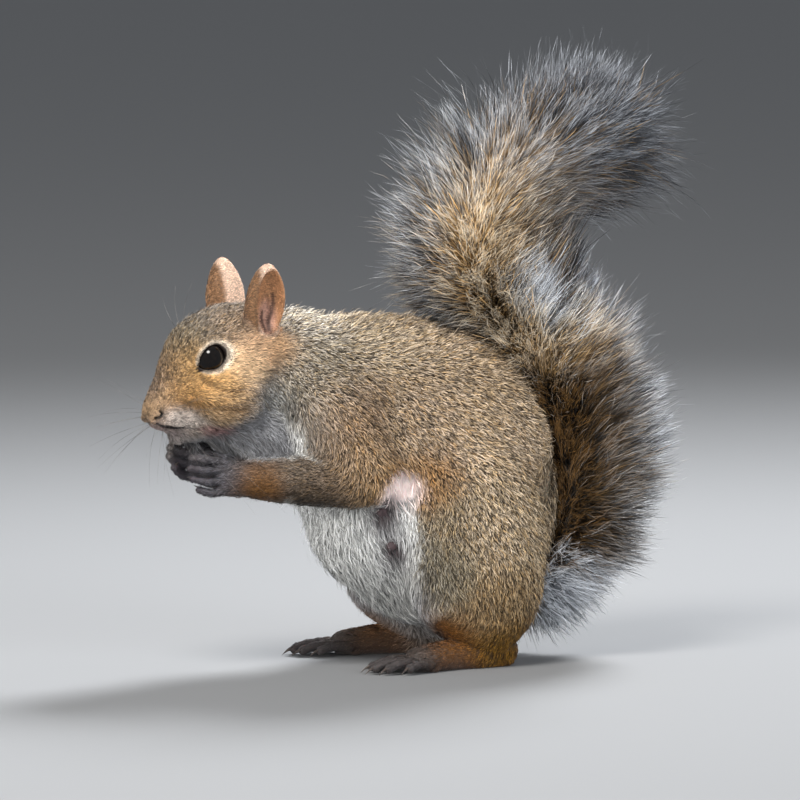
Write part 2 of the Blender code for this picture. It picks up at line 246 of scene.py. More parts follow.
# Each row is a place on the left side or the middle line: place, reach, way the hair points,
# hair length, coat depth, colour of the hair's light band, share of dark ticking, share covered.
coatPlan = {
    "nose": ((0, -110, 94), 3, (0, 0.5, 0.85), 0.9, 0.2, (0.33, 0.22, 0.13), 0.1, 0.9),
    "bridge": ((0, -104, 108), 6, (0, 0.5, 0.85), 1.9, 0.5, (0.14, 0.14, 0.16), 0.95, 1),
    "brow": ((0, -95, 123), 7, (0, 0.75, 0.65), 3.2, 1.0, (0.32, 0.27, 0.2), 0.95, 1),
    "forehead": ((0, -84, 132), 7, (0, 0.93, 0.35), 3.8, 1.3, (0.34, 0.29, 0.25), 0.95, 1),
    "crown": ((0, -68, 136), 7, (0, 1, 0), 4.2, 1.4, (0.28, 0.25, 0.22), 0.95, 1),
    "templeTop": ((11, -80, 130), 5, (0.1, 0.95, 0.15), 3.2, 1.1, (0.42, 0.31, 0.22), 0.95, 1),
    "noseSide": ((5, -106, 97), 4, (0.25, 0.8, 0.55), 1.3, 0.3, (0.46, 0.3, 0.16), 0.15, 1),
    "muzzle": ((9, -98, 103), 5, (0.3, 0.9, 0.2), 1.9, 0.5, (0.68, 0.39, 0.15), 0.5, 1),
    "muzzleTop": ((6, -100, 112), 5, (0.15, 0.75, 0.65), 2.2, 0.6, (0.43, 0.27, 0.13), 0.95, 1),
    "whiskerPad": ((7, -100, 94), 3.5, (0.3, 0.95, -0.1), 1.7, 0.4, (0.41, 0.32, 0.3), 0.15, 1),
    "lip": ((4, -103, 89), 3, (0.2, 0.9, -0.3), 1.2, 0.3, (0.38, 0.27, 0.29), 0.1, 0.7),
    "eyeFront": ((11, -95, 113), 4, (0.3, 0.9, 0.25), 2.0, 0.5, (0.63, 0.39, 0.16), 0.5, 1),
    "eyeUnder": ((15, -88, 106), 4, (0.2, 0.97, -0.1), 2.6, 0.7, (0.79, 0.46, 0.17), 0.15, 1),
    "cheek": ((18, -82, 100), 6, (0.15, 0.96, -0.2), 4.2, 1.3, (0.58, 0.37, 0.18), 0.5, 1),
    "cheekLow": ((14, -86, 93), 5, (0.15, 0.93, -0.3), 3.6, 1.1, (0.45, 0.33, 0.22), 0.2, 1),
    "eyeRear": ((17, -76, 113), 4, (0.1, 0.98, 0), 3.4, 1.0, (0.88, 0.62, 0.37), 0.12, 1),
    "temple": ((17, -71, 122), 5, (0.05, 0.95, 0.15), 3.4, 1.1, (0.68, 0.44, 0.27), 0.25, 1),
    "earRoot": ((20, -64, 122), 4, (0.1, 0.9, -0.1), 3.2, 1.0, (0.68, 0.41, 0.21), 0.2, 1),
    "jawSide": ((18, -71, 96), 6, (0.1, 0.9, -0.35), 5.0, 1.5, (0.38, 0.4, 0.43), 0.8, 1),
    "jawBack": ((19, -61, 97), 6, (0.1, 0.8, -0.55), 5, 2.0, (0.3, 0.3, 0.28), 0.5, 1),
    "chin": ((0, -97, 85), 5, (0, 0.9, -0.4), 2.4, 0.6, (0.4, 0.36, 0.33), 0, 1),
    # painted shade: the throat's white hair is painted grey
    "shadedThroat": ((0, -76, 80), 8, (0, 0.8, -0.55), 6, 2.0, (0.21, 0.21, 0.23), 0.05, 1),
    "neckSide": ((24, -48, 110), 8, (0.1, 0.8, -0.55), 5.2, 2.6, (0.49, 0.43, 0.35), 0.95, 1),
    "neckLow": ((22, -52, 90), 7, (0, 0.55, -0.8), 7.0, 2.6, (0.29, 0.26, 0.23), 0.2, 1),
    "nape": ((0, -44, 132), 9, (0, 1, -0.12), 5, 2.6, (0.72, 0.67, 0.6), 0.95, 1),
    "shoulder": ((30, -42, 98), 8, (0.1, 0.5, -0.85), 5.2, 2.8, (0.53, 0.37, 0.25), 0.95, 1),
    "upperArm": ((36, -36, 84), 8, (0, 0.3, -0.95), 5.5, 2.4, (0.54, 0.38, 0.24), 0.95, 1),
    "elbow": ((39, -29, 70), 6, (-0.1, -0.15, -0.98), 5.0, 1.9, (0.29, 0.19, 0.1), 0.95, 1),
    "forearmTop": ((25, -50, 79), 6, (-0.42, -0.9, -0.05), 4.0, 1.4, (0.2, 0.15, 0.11), 0.95, 1),
    "forearmSide": ((30, -46, 70), 6, (-0.42, -0.9, 0), 4.0, 1.4, (0.16, 0.12, 0.09), 0.95, 1),
    # painted shade: the underside of the forearm is painted near-black
    "forearmUnderShade": ((22, -48, 62), 6, (-0.42, -0.9, 0.05), 3.6, 1.3, (0.019, 0.015, 0.009), 0.8, 1),
    "wrist": ((14, -67, 72), 6.0, (-0.35, -0.93, 0), 2.4, 0.7, (0.17, 0.07, 0.008), 0.5, 1),
    "handBack": ((10, -80, 74), 5, (-0.2, -0.97, 0), 1.7, 0.2, (0.08, 0.08, 0.1), 0.5, 0.8),
    "fingers": ((5, -94, 75), 6, (-0.1, -1, 0), 0.9, 0.06, (0.05, 0.04, 0.05), 0.2, 0.2),
    "palm": ((1, -84, 73), 3, (-0.1, -1, 0), 1.0, 0.1, (0.07, 0.06, 0.06), 0.1, 0.05),
    "chest": ((0, -56, 84), 9, (0, 0.35, -0.93), 8.0, 3.2, (0.61, 0.6, 0.59), 0.02, 1),
    "chestLow": ((0, -42, 64), 9, (0, 0.25, -0.96), 8.5, 3.6, (0.95, 0.95, 0.95), 0, 1),
    "belly": ((0, -36, 48), 9, (0, 0.4, -0.9), 9.5, 4.0, (0.95, 0.95, 0.95), 0, 1),
    # painted shade: the white hair low on the belly and under it is painted grey
    "bellyLowShade": ((0, -18, 29), 9, (0, 0.75, -0.6), 9, 3.8, (0.49, 0.5, 0.53), 0, 1),
    "underBellyShade": ((0, 15, 18), 12, (0, 0.9, -0.3), 7.5, 3.2, (0.59, 0.59, 0.59), 0, 1),
    "bellySide": ((23, -22, 50), 7, (0.1, 0.3, -0.93), 8.5, 3.4, (0.86, 0.86, 0.84), 0.03, 1),
    # painted shade: the white hair low on the belly's side is painted grey
    "bellySideLowShade": ((22, -14, 34), 7, (0.1, 0.4, -0.9), 8.5, 3.4, (0.47, 0.47, 0.51), 0.05, 1),
    "armpit": ((27, -22, 66), 6, (0.05, 0.4, -0.9), 7.0, 2.8, (0.68, 0.63, 0.56), 0.08, 1),
    "back": ((0, -22, 129), 11, (0, 1, -0.08), 6.2, 3.5, (0.66, 0.54, 0.4), 0.95, 1),
    "backMiddle": ((0, 5, 126), 11, (0, 1, -0.15), 6.7, 3.8, (0.69, 0.55, 0.41), 0.95, 1),
    "backHigh": ((0, 28, 114), 10, (0, 0.85, -0.5), 6.7, 3.8, (0.78, 0.61, 0.44), 0.95, 1),
    "backLow": ((0, 47, 94), 10, (0, 0.5, -0.85), 6.7, 3.8, (0.91, 0.74, 0.53), 0.95, 1),
    "rump": ((0, 54, 66), 11, (0, 0.15, -0.98), 6.7, 3.8, (0.94, 0.79, 0.6), 0.95, 1),
    "rumpLow": ((0, 48, 30), 10, (0, 0.3, -0.95), 6.2, 3.6, (0.76, 0.61, 0.45), 0.95, 1),
    "flankFront": ((31, -12, 92), 9, (0.05, 0.7, -0.7), 6.2, 3.5, (0.57, 0.44, 0.32), 0.95, 1),
    "flank": ((33, 15, 98), 10, (0.05, 0.75, -0.65), 6.7, 3.7, (0.63, 0.49, 0.35), 0.95, 1),
    "flankRear": ((26, 38, 92), 9, (0, 0.6, -0.8), 6.7, 3.8, (0.88, 0.7, 0.52), 0.95, 1),
    "flankLow": ((33, -8, 76), 6, (0.05, 0.5, -0.85), 5.9, 3.2, (0.52, 0.37, 0.26), 0.95, 1),
    "haunchTop": ((42, 10, 84), 8, (0.05, 0.5, -0.85), 6.2, 3.5, (0.79, 0.63, 0.46), 0.95, 1),
    "haunch": ((47, 14, 58), 10, (0, 0.3, -0.95), 6.2, 3.5, (0.67, 0.54, 0.39), 0.95, 1),
    "haunchRear": ((40, 38, 50), 9, (0, 0.3, -0.95), 6.2, 3.5, (0.66, 0.52, 0.35), 0.95, 1),
    "knee": ((41, -8, 64), 7, (0, 0.15, -0.98), 5.5, 3.0, (0.36, 0.29, 0.2), 0.95, 1),
    "shin": ((38, -8, 40), 7, (0, 0.3, -0.95), 5.9, 2.8, (0.27, 0.24, 0.18), 0.8, 1),
    "haunchLow": ((43, 16, 28), 8, (0, 0.1, -0.98), 5.9, 2.8, (0.49, 0.35, 0.2), 0.95, 1),
    "hock": ((36, 20, 13), 6, (-0.1, -0.5, -0.86), 4, 1.4, (0.26, 0.13, 0.009), 0.8, 1),
    "innerShin": ((19, 2, 22), 7, (0.2, 0.4, -0.88), 6, 2.2, (0.36, 0.35, 0.35), 0.1, 1),
    "heel": ((30, 28, 6), 5, (0, -0.3, -0.95), 2.2, 0.6, (0.22, 0.1, 0.007), 0.5, 1),
    "instep": ((31, 2, 12), 7, (0.14, -0.98, -0.1), 2.5, 0.5, (0.25, 0.09, 0.003), 0.5, 1),
    "footBall": ((33, -14, 9), 5, (0.15, -0.98, -0.15), 2.0, 0.3, (0.09, 0.07, 0.06), 0.5, 0.85),
    "toes": ((34, -24, 6), 7, (0.16, -0.97, -0.2), 1.5, 0.2, (0.07, 0.06, 0.06), 0.25, 0.5),
    "sole": ((31, 0, 0), 5, (0.14, -0.98, 0), 1.0, 0.1, (0.11, 0.08, 0.07), 0.1, 0.1),
    "tailRoot": ((0, 58, 40), 7, (0, 0.4, 0.9), 5.0, 1.0, (0.3, 0.2, 0.11), 0.8, 0),
    "tailBone": ((0, 56, 95), 20, (0, -0.3, 0.95), 5.0, 1.0, (0.26, 0.18, 0.1), 0.8, 0),
    "tailEnd": ((0, 40, 170), 25, (0, 0.7, 0.7), 5.0, 1.0, (0.28, 0.2, 0.12), 0.8, 0),
}


def coatFields(points):
    # one smooth blend of the plan's rows at every point
    rows = []
    for place, reach, lie, length, depth, colour, ticking, cover in coatPlan.values():
        value = (*unit(np.array(lie)), length, depth, *colour, ticking, cover)
        rows.append((place, reach, value))
        if place[0]:
            mirror = (-place[0], place[1], place[2])
            rows.append((mirror, reach, (-value[0], *value[1:])))
    places = np.array([row[0] for row in rows], float)
    reaches = np.array([row[1] for row in rows], float)
    values = np.array([row[2] for row in rows], float)
    blended = []
    for start in range(0, len(points), 20000):
        gap = points[start:start + 20000, None] - places[None]
        square = (gap ** 2).sum(-1)
        weight = np.exp(-square / (2 * reaches ** 2)) + 1e-5 / (square + 1)
        blended.append(weight @ values / weight.sum(1, keepdims=True))
    blended = np.concatenate(blended)
    return {
        "lie": blended[:, 0:3], "length": blended[:, 3], "depth": blended[:, 4],
        "colour": blended[:, 5:8], "ticking": blended[:, 8], "cover": blended[:, 9],
    }


def within(points, centre, radii, soft=0.35):
    # 1 well inside an ellipsoid, 0 outside it, smooth between
    away = np.linalg.norm((points - np.array(centre)) / np.array(radii), axis=1)
    part = falling(away, 1 + soft, 2 * soft)
    return part * part * (3 - 2 * part)


def paintOver(field, mask, colour=None, ticking=None, cover=None, length=None, depth=None):
    values = {"colour": colour, "ticking": ticking, "cover": cover, "length": length, "depth": depth}
    for name, value in values.items():
        if value is None:
            continue
        share = mask[:, None] if name == "colour" else mask
        field[name] = field[name] * (1 - share) + np.array(value) * share


marks = {
    "ring": (0.86, 0.72, 0.56), "lidRim": (0.020, 0.014, 0.012), "white": (0.93, 0.93, 0.905),
    "shadedBib": (0.25, 0.25, 0.26), "patch": (0.97, 0.80, 0.75), "teat": (0.09, 0.062, 0.065),
    "teatHalo": (0.26, 0.24, 0.25), "rustFur": (0.48, 0.25, 0.075), "pinkLip": (0.36, 0.19, 0.18),
    "earInside": (0.52, 0.26, 0.125), "earDeep": (0.50, 0.29, 0.23), "earBack": (0.86, 0.62, 0.47),
    "earRim": (0.30, 0.16, 0.08), "earCreviceShade": (0.05, 0.025, 0.02), "nostril": (0.006, 0.005, 0.005),
    "mouth": (0.02, 0.013, 0.012), "fold": (0.22, 0.12, 0.05), "pad": (0.50, 0.43, 0.38),
}
underside = ((0, -45, 45), (55, 41.5, 70))
shadedThroat = ((0, -70, 84), (26, 22, 15))
armShapes = (
    ((32, -42, 97), (14, 17, 19)), ((37, -36, 80), (12, 13, 18)), ((31, -40, 71), (11, 11, 11)),
    ((24, -50, 71), (10, 10, 10)), ((18, -60, 72), (9, 9, 9)), ((13, -70, 72), (8, 9, 9)),
    ((9, -82, 73), (9, 16, 12)),
    ((15, -65, 67), (9, 10, 9)), ((33, -18, 2), (18, 40, 13)),
)
flankPatch = ((33, -20.5, 69.2), (11, 10.5, 7.3))
rustFur = ((33.5, -16, 72), (12, 14.5, 10))
teats = ((28.2, -25.5, 58.8), (26, -20.5, 46))


def eyeOval(points, sign, grow, shift=(0, 0)):
    # 1 inside the slit of the eye widened by grow, and near the eyeball
    place = Matrix.Translation(Vector(middleOf("eye_left"))) @ eyeTurn()
    local = Matrix(place.inverted())
    flat = np.array(local)
    turned = (points * (sign, 1, 1)) @ flat[:3, :3].T + flat[:3, 3]
    wide, high = eyeShape["halfLength"] + grow, eyeShape["halfHeight"] + grow
    across = turned[:, 0] - shift[0] - eyeShape["back"]
    away = np.hypot(across / wide, (turned[:, 1] - shift[1]) / high)
    return falling(away, 1.07, 0.14) * (turned[:, 2] > 0)


def earLocal(points, sign):
    # places in the ear's own frame: x across the cup, -y out of its mouth, z up it
    flat = np.array(earPlace().inverted())
    return (points * (sign, 1, 1) * mm) @ flat[:3, :3].T / mm + flat[:3, 3] / mm


def paintFace(field, points, sign):
    pad = within(points, np.array((10, -96.5, 94)) * (sign, 1, 1), (6, 9, 4.5), 0.5)
    paintOver(field, pad, marks["pad"], 0.1, 0.9, 1.8, 0.35)
    # painted shade: darker fur along the creases under the eye and on the cheek
    for fold, size in ((lidFold, 1.0), (cheekFold, 1.1)):
        paintOver(field, nearLine(points, fold, sign, size) * 0.75, marks["fold"], 0.6)
    # painted shade: the nostril and the line of the mouth are painted near-black, over short hair
    for line, colour in ((mouthLine, "mouth"), (nostrilLine, "nostril")):
        near = nearLine(points, line, sign, 0.85)
        paintOver(field, np.clip(near * 1.6, 0, 1), length=0.6, depth=0.1)
        paintOver(field, np.clip(near * 3.4 - 0.6, 0, 1), marks[colour], 0, 0)
    # short hair round the eye, then the pale ring, then the bare dark rim with its duct
    paintOver(field, eyeOval(points, sign, 3.2), length=1.5, depth=0.3)
    paintOver(field, eyeOval(points, sign, 1.9, (0.3, -0.4)), marks["ring"], 0.03, 1, 1.1, 0.22)
    duct = eyeOval(points, sign, -2.4, (-5.2, -0.5))
    paintOver(field, np.maximum(eyeOval(points, sign, 0.8), duct), marks["lidRim"], 0, 0)


def paintEar(field, points, sign):
    local = earLocal(points, sign)
    ear = within(local, (0, 0, 1.5), (10, 8, 15.5), 0.06)
    paintOver(field, ear, marks["earBack"], 0.08, 0.5, 1.3, 0.2)
    mouth = ear * (local[:, 1] < earDish(local) + 1.6) * within(local, (1.2, 0, 0), (6.0, 9, 13.2), 0.1)
    paintOver(field, mouth, marks["earInside"], 0.05, 0.45)
    deep = mouth * within(local, (0.4, 0, -6.5), (3.4, 9, 6.5), 0.5)
    paintOver(field, deep * 0.8, marks["earDeep"], 0, 0.1)
    # painted shade: the crevices beside the ear's inner folds are painted near-black
    slit = np.zeros(len(points))
    for line in earFolds:
        for spot in alongLine(line, 1, 16):
            slit = np.maximum(slit, within(local, spot, (0.85, 9, 0.85), 0.6))
    paintOver(field, slit * mouth * 0.9, marks["earCreviceShade"], 0, 0.05)
    front = ear * rising(-local[:, 0], 2.5, 2) * (1 - mouth)
    paintOver(field, front, marks["earRim"], 0.1, 1, 1.7, 0.35)


def paintFlank(field, points, sign, white):
    mirror = np.array((sign, 1, 1))
    rust = within(points, rustFur[0] * mirror, rustFur[1], 0.5) * (1 - white)
    paintOver(field, rust * 0.7, marks["rustFur"])
    patch = within(points, flankPatch[0] * mirror, flankPatch[1], 0.25)
    paintOver(field, patch, marks["patch"], 0, 0.04)
    for teat in teats:
        halo = within(points, np.array(teat) * mirror + (0, -0.8, -1.5), (6.6, 7.2, 7.8), 0.6)
        paintOver(field, halo * 0.75, marks["teatHalo"], 0, 0.7, 5)
        bare = within(points, teat * mirror, (5.4, 4.9, 5.2), 0.4)
        paintOver(field, bare, marks["teat"], 0, 0.03, 3)


def markings(points):
    # the same markings for the skin and for the tufts that root in it
    field = coatFields(points)
    arms = np.zeros(len(points))
    for sign in sides.values():
        for place, radii in armShapes:
            arms = np.maximum(arms, within(points, np.array(place) * (sign, 1, 1), radii, 0.12))
    height = points[:, 2]
    behindArm = rising(height, 71, 3) * rising(points[:, 1], -36, 4)
    white = within(points, *underside, 0.05) * (1 - behindArm) * falling(height, 97, 6)
    white = white * (1 - arms)
    paintOver(field, white * 0.96, marks["white"], 0.02)
    # painted shade: the white underside gets darker towards the bottom, where the belly curves under
    field["colour"] *= (1 - 0.28 * white * falling(height, 56, 20))[:, None]
    # painted shade: the white bib under the head is painted grey
    paintOver(field, within(points, *shadedThroat, 0.2) * (1 - arms), marks["shadedBib"], 0.06)
    for sign in sides.values():
        paintFace(field, points, sign)
        paintEar(field, points, sign)
        paintFlank(field, points, sign, white)
        corner = within(points, np.array((12.0, -85.5, 89.6)) * (sign, 1, 1), (5, 5.5, 3.4), 0.5)
        paintOver(field, corner * 0.8, marks["pinkLip"], 0, 0.5)
    return field


# the fine shapes of the skin: fingers, toes, ears and lids
hand = {
    "wrist": (10.5, -70.5, 71.6), "claw": 3.8, "shares": (0.92, 1.04, 1.0, 0.8),
    "radius": {"left": 1.6, "right": 1.9}, "length": {"left": 11.0, "right": 13.5},
    "knuckles": {"left": -82.0, "right": -86.0}, "raised": {"left": -0.7, "right": 4.0},
    "spacing": {"left": 3.7, "right": 4.1}, "fan": {"left": 0.12, "right": 0.05},
}
foot = {
    "hock": (28.5, 18, 0), "turnOut": 9, "length": 15, "radius": 2.15, "spacing": 3.3,
    "claw": 4.8, "shares": (0.80, 1.0, 1.06, 0.98, 0.72),
    "sole": (((0, 5, 5.4), (5.5, 6.3, 6.0)), ((0, -15, 5.2), (5.7, 8, 5.8)), ((0, -29, 4.3), (7.9, 7, 4.7))),
    "pads": (((-4.8, -28, 1.9), 2.6), ((0, -31.5, 1.9), 2.7), ((4.8, -28, 1.9), 2.6)),
}
earShape = {
    "middle": (17.8, -67.4, 137.1), "halfWidth": 7.2, "halfHeight": 14, "depth": 4.4,
    "wall": 1.05, "faces": 84, "leans": 13, "nods": 2,
}
eyeShape = {
    "axis": (0.96, -0.13, 0.12), "lid": 0.45, "halfLength": 5.25, "halfHeight": 3.85,
    "slant": -36, "back": 0.2,
}
tailBone = (
    ((0, 40, 22), 7.0), ((0, 54, 32), 6.2), ((0, 61.5, 48), 5.4), ((0, 64, 68), 5.0),
    ((0, 61, 90), 4.7), ((0, 52, 108), 4.4), ((0, 40, 122), 4.1), ((0, 29, 135), 3.8),
    ((0, 24, 149), 3.5), ((0, 27, 162), 3.2), ((0, 37, 173), 2.9), ((0, 50, 182), 2.5),
    ((0, 61, 188), 1.9),
)


def jointsOf(root, direction, curl, length):
    # the three bends of a digit and the way its tip points
    point, heading = Vector(root), Vector(direction).normalized()
    joints = [point]
    for share in (0.42, 0.32, 0.26):
        point = point + heading * length * share
        heading = (heading + Vector(curl) * 0.45).normalized()
        joints.append(point)
    return joints, heading


def fingerJoints(side):
    digits = []
    for rank, share in enumerate(hand["shares"]):
        lift = 1.5 - rank
        up = hand["raised"][side]
        ahead = hand["knuckles"][side] + 0.5 * rank
        root = (8.2 - 0.3 * abs(lift), ahead, 73.4 + hand["spacing"][side] * lift + up)
        reach = (0.06, -1.0, 0.02 + hand["fan"][side] * lift + 0.05 * up)
        curl = (-1.15 + 0.12 * rank, 0.45, 0.25 - 0.28 * lift)
        digits.append(jointsOf(root, reach, curl, hand["length"][side] * share))
    return digits


def footPlace():
    return Matrix.Translation(foot["hock"]) @ Matrix.Rotation(math.radians(foot["turnOut"]), 4, "Z")


def toeJoints():
    place = footPlace()
    digits = []
    for rank, share in enumerate(foot["shares"]):
        across = rank - 2
        root = (foot["spacing"] * across, -34.0 + 0.8 * across * across, 3.4)
        reach, curl = (0.13 * across, -1.0, 0.10), (0, 0, -0.40)
        joints, heading = jointsOf(root, reach, curl, foot["length"] * share)
        digits.append(([place @ joint for joint in joints], place.to_3x3() @ heading))
    return digits


def addDigit(bm, joints, radius):
    # swollen at each knuckle, drawn in between, with a round pad under the tip
    for number, (first, second) in enumerate(zip(joints, joints[1:])):
        size = radius * (1 - 0.09 * number)
        middle = (first + second) / 2
        addHull(bm, [(first, size * 1.04), (middle, size * 0.86)])
        addHull(bm, [(middle, size * 0.86), (second, size * 0.96)])
    addBall(bm, joints[-1] + Vector((0, -0.3, -0.25)), (radius * 0.82,) * 3)


def addHand(bm, side):
    wrist = hand["wrist"]
    up, front = hand["raised"][side], hand["knuckles"][side]
    addChain(bm, [
        (wrist, (4.6, 5, 5.6)), ((8.6, front + 7, 72.2 + up / 2), (3.2, 4.4, 6.7)),
        ((7.0, front + 1.7, 73.4 + up), (2.7, 3.0, 6.6)),
    ], 3)
    for joints, _ in fingerJoints(side):
        addDigit(bm, joints, hand["radius"][side])
        tendon = (9.6, front + 8, joints[0].z * 0.6 + 29)
        addHull(bm, [(tendon, 1.3), (joints[0], 1.55)])
    # the stub of a thumb, and two pads of the palm
    addHull(bm, [((7.6, front + 6, 78 + up), 1.9), ((4.6, front + 0.5, 80.6 + up), 1.3)])
    addBall(bm, (5.0, front + 6, 69.5 + up), (2.4, 3.2, 2.4))
    addBall(bm, (5.0, front + 6, 75.5 + up), (2.2, 2.8, 2.2))


def addFoot(bm):
    place = footPlace()
    part = bmesh.new()
    addChain(part, foot["sole"], 3)
    for spot, size in foot["pads"]:
        addBall(part, spot, (size, size * 1.2, 2.1))
    inMetres = place.copy()
    inMetres.translation *= mm
    bmesh.ops.transform(part, verts=part.verts, matrix=inMetres)
    addMesh(bm, part)
    for joints, _ in toeJoints():
        addDigit(bm, joints, foot["radius"])
        ridge = place @ Vector((0.55 * (place.inverted() @ joints[0]).x, -20, 8.6))
        addHull(bm, [(ridge, 1.5), (joints[0], 2.0)])


def earPlace():
    turn = Matrix.Rotation(math.radians(earShape["faces"]), 4, "Z")
    lean = Matrix.Rotation(math.radians(earShape["leans"]), 4, "Y")
    nod = Matrix.Rotation(math.radians(earShape["nods"]), 4, "X")
    return Matrix.Translation(Vector(earShape["middle"]) * mm) @ lean @ nod @ turn


def earDish(local):
    # how deep the hollow of the ear is at each place across it
    inner = earShape["halfWidth"] - earShape["wall"]
    tall = earShape["halfHeight"] - earShape["wall"]
    away = np.clip(1 - ((local[:, 0] - 1.2) / inner) ** 2 - (local[:, 2] / tall) ** 2, 0, 1)
    return -earShape["depth"] + inner * np.sqrt(away)


def addEar(bm):
    # a thin cup with a thick furred front edge, inner folds and a notch at its foot
    half, deep = earShape["halfHeight"], earShape["depth"]
    part = bmesh.new()
    bmesh.ops.create_icosphere(part, subdivisions=5, radius=1)
    for vert in part.verts:
        vert.co.x *= earShape["halfWidth"] * (1 - 0.24 * max(vert.co.z, 0) ** 2)
        vert.co.y *= deep
        vert.co.z *= half
    bmesh.ops.scale(part, vec=(mm,) * 3, verts=part.verts)
    cup = meshObject("cup", part)
    hollow = bmesh.new()
    inner = earShape["halfWidth"] - earShape["wall"]
    addBall(hollow, (0.9, -deep + 0.3, 0.2), (inner - 0.8, inner, half - earShape["wall"]), 5)
    cutWith(cup, meshObject("hollow", hollow))
    fold = bmesh.new()
    fold.from_mesh(cup.data)
    bpy.data.objects.remove(cup)
    front = [((-5.6, -0.6, -10.5), 2.6), ((-6.2, -0.9, -5), 2.2), ((-6.0, -0.8, 1), 1.8)]
    addChain(fold, [*front, ((-4.6, -0.5, 7), 1.3), ((-2.2, -0.3, 11.2), 0.7)])
    addChain(fold, [((1.8, 1.9, 2.5), 0.7), ((3.0, 1.7, -3.5), 1.2), ((2.6, 1.0, -8.5), 1.6)])
    addChain(fold, [((-2.2, 0.6, -11), 2.3), ((-2.0, 0.6, -7), 1.5), ((-2.0, 1.4, -3.6), 0.9)])
    addBall(fold, (3.6, 0.0, -11), (2.6, 1.8, 2.6))
    bmesh.ops.transform(fold, verts=fold.verts, matrix=earPlace())
    addMesh(bm, fold)


def eyeTurn():
    # x along the eye's slit and away from the nose, y up, z out of the head
    out = Vector(eyeShape["axis"]).normalized()
    up = (Vector((0, 0, 1)) - out * out.z).normalized()
    ahead = up.cross(out)
    slant = Matrix.Rotation(math.radians(-eyeShape["slant"]), 3, out)
    return Matrix((slant @ ahead, slant @ up, out)).transposed().to_4x4()


def addLids(bm):
    centre = Vector(middleOf("eye_left")) * mm
    radius = eyeRadius() + eyeShape["lid"]
    place = Matrix.Translation(centre) @ eyeTurn()
    ball = bmesh.new()
    bmesh.ops.create_icosphere(ball, subdivisions=5, radius=radius * mm, matrix=place)
    lids = meshObject("lids", ball)
    slit = bmesh.new()
    bmesh.ops.create_cone(slit, cap_ends=True, segments=48, radius1=1, radius2=1.18, depth=2)
    for vert in slit.verts:
        toNose = max(-vert.co.x, 0)
        vert.co.y *= 1 - 0.25 * toNose ** 2
        vert.co.x *= 1 + 0.08 * toNose
    size = Matrix.Diagonal((eyeShape["halfLength"] * mm, eyeShape["halfHeight"] * mm, radius * mm, 1))
    out = Matrix.Translation((eyeShape["back"] * mm, 0, radius * mm * 0.9))
    bmesh.ops.transform(slit, verts=slit.verts, matrix=place @ out @ size)
    bmesh.ops.recalc_face_normals(slit, faces=slit.faces)
    cutWith(lids, meshObject("slit", slit))
    bm.from_mesh(lids.data)
    bpy.data.objects.remove(lids)


def eyeRadius():
    low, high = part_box("eye_left")
    return (high.x - low.x) / 2 / mm


skinShape = {
    "flesh": ("head", "neck", "trunk", "upper_arm", "forearm", "thigh"),
    "spread": 0.1, "loft": 1.1, "hullVoxel": 1.0, "hullPasses": 12, "voxel": 0.45, "passes": 3,
    "triangles": 185000,
}


def copiesOf(names, spread):
    bm = bmesh.new()
    for name in names:
        one = bmesh.new()
        one.from_mesh(nodes[name].data)
        bmesh.ops.remove_doubles(one, verts=one.verts, dist=1e-6)
        one.normal_update()
        for vert in one.verts:
            vert.co += vert.normal * spread * mm
        addMesh(bm, one)
    return bm


def nodesStarting(*starts):
    return [name for name in nodes if name.startswith(starts)]


def makeCore():
    # the coat's outer shape, drawn in by the depth of the coat
    core = meshObject("skin", copiesOf(nodesStarting(*skinShape["flesh"]), skinShape["spread"]))
    remeshed(core, skinShape["hullVoxel"], skinShape["hullPasses"])
    points = pointsOf(core.data)
    muzzle = within(points, (0, -104, 100), (16, 16, 22), 0.3)
    inset = coatFields(points)["depth"] - skinShape["loft"] * (1 - muzzle)
    movePoints(core.data, points - normalsOf(core.data) * inset[:, None])
    return core


def makeSkin():
    core = makeCore()
    bm = bmesh.new()
    addFoot(bm)
    addEar(bm)
    addLids(bm)
    addMirror(bm)
    for side, sign in sides.items():
        part = bmesh.new()
        addHand(part, side)
        if sign < 0:
            flip(part)
        addMesh(bm, part)
    for sign in sides.values():
        for x, y, z in teats:
            addBall(bm, (x * sign, y, z), (1.7, 2.1, 1.7))
        addBall(bm, (2.6 * sign, -106.9, 93.2), (2.7, 2.6, 2.7))  # wings of the nose
        addBall(bm, (4.6 * sign, -101.5, 91.4), (3.6, 4.6, 3.2))  # upper lip
    addBall(bm, (0, -106.6, 95), (3.2, 3.3, 3.2))  # tip of the nose
    addBall(bm, (0, -96.5, 86.6), (4.0, 4.4, 2.6))  # chin
    addChain(bm, tailBone, 3)
    bm.from_mesh(core.data)
    bpy.data.objects.remove(core)
    skin = meshObject("skin", bm)
    remeshed(skin, skinShape["voxel"], skinShape["passes"])
    sculptFace(skin.data)
    liftOffFloor(skin.data)
    thinOut(skin)
    skin.data.shade_smooth()
    return skin


def press(points, normals, spot, radii, amount):
    # pushes the surface in round a spot, or out where amount is negative
    away = (((points - np.array(spot)) / np.array(radii)) ** 2).sum(1)
    points -= normals * (amount * np.exp(-away))[:, None]


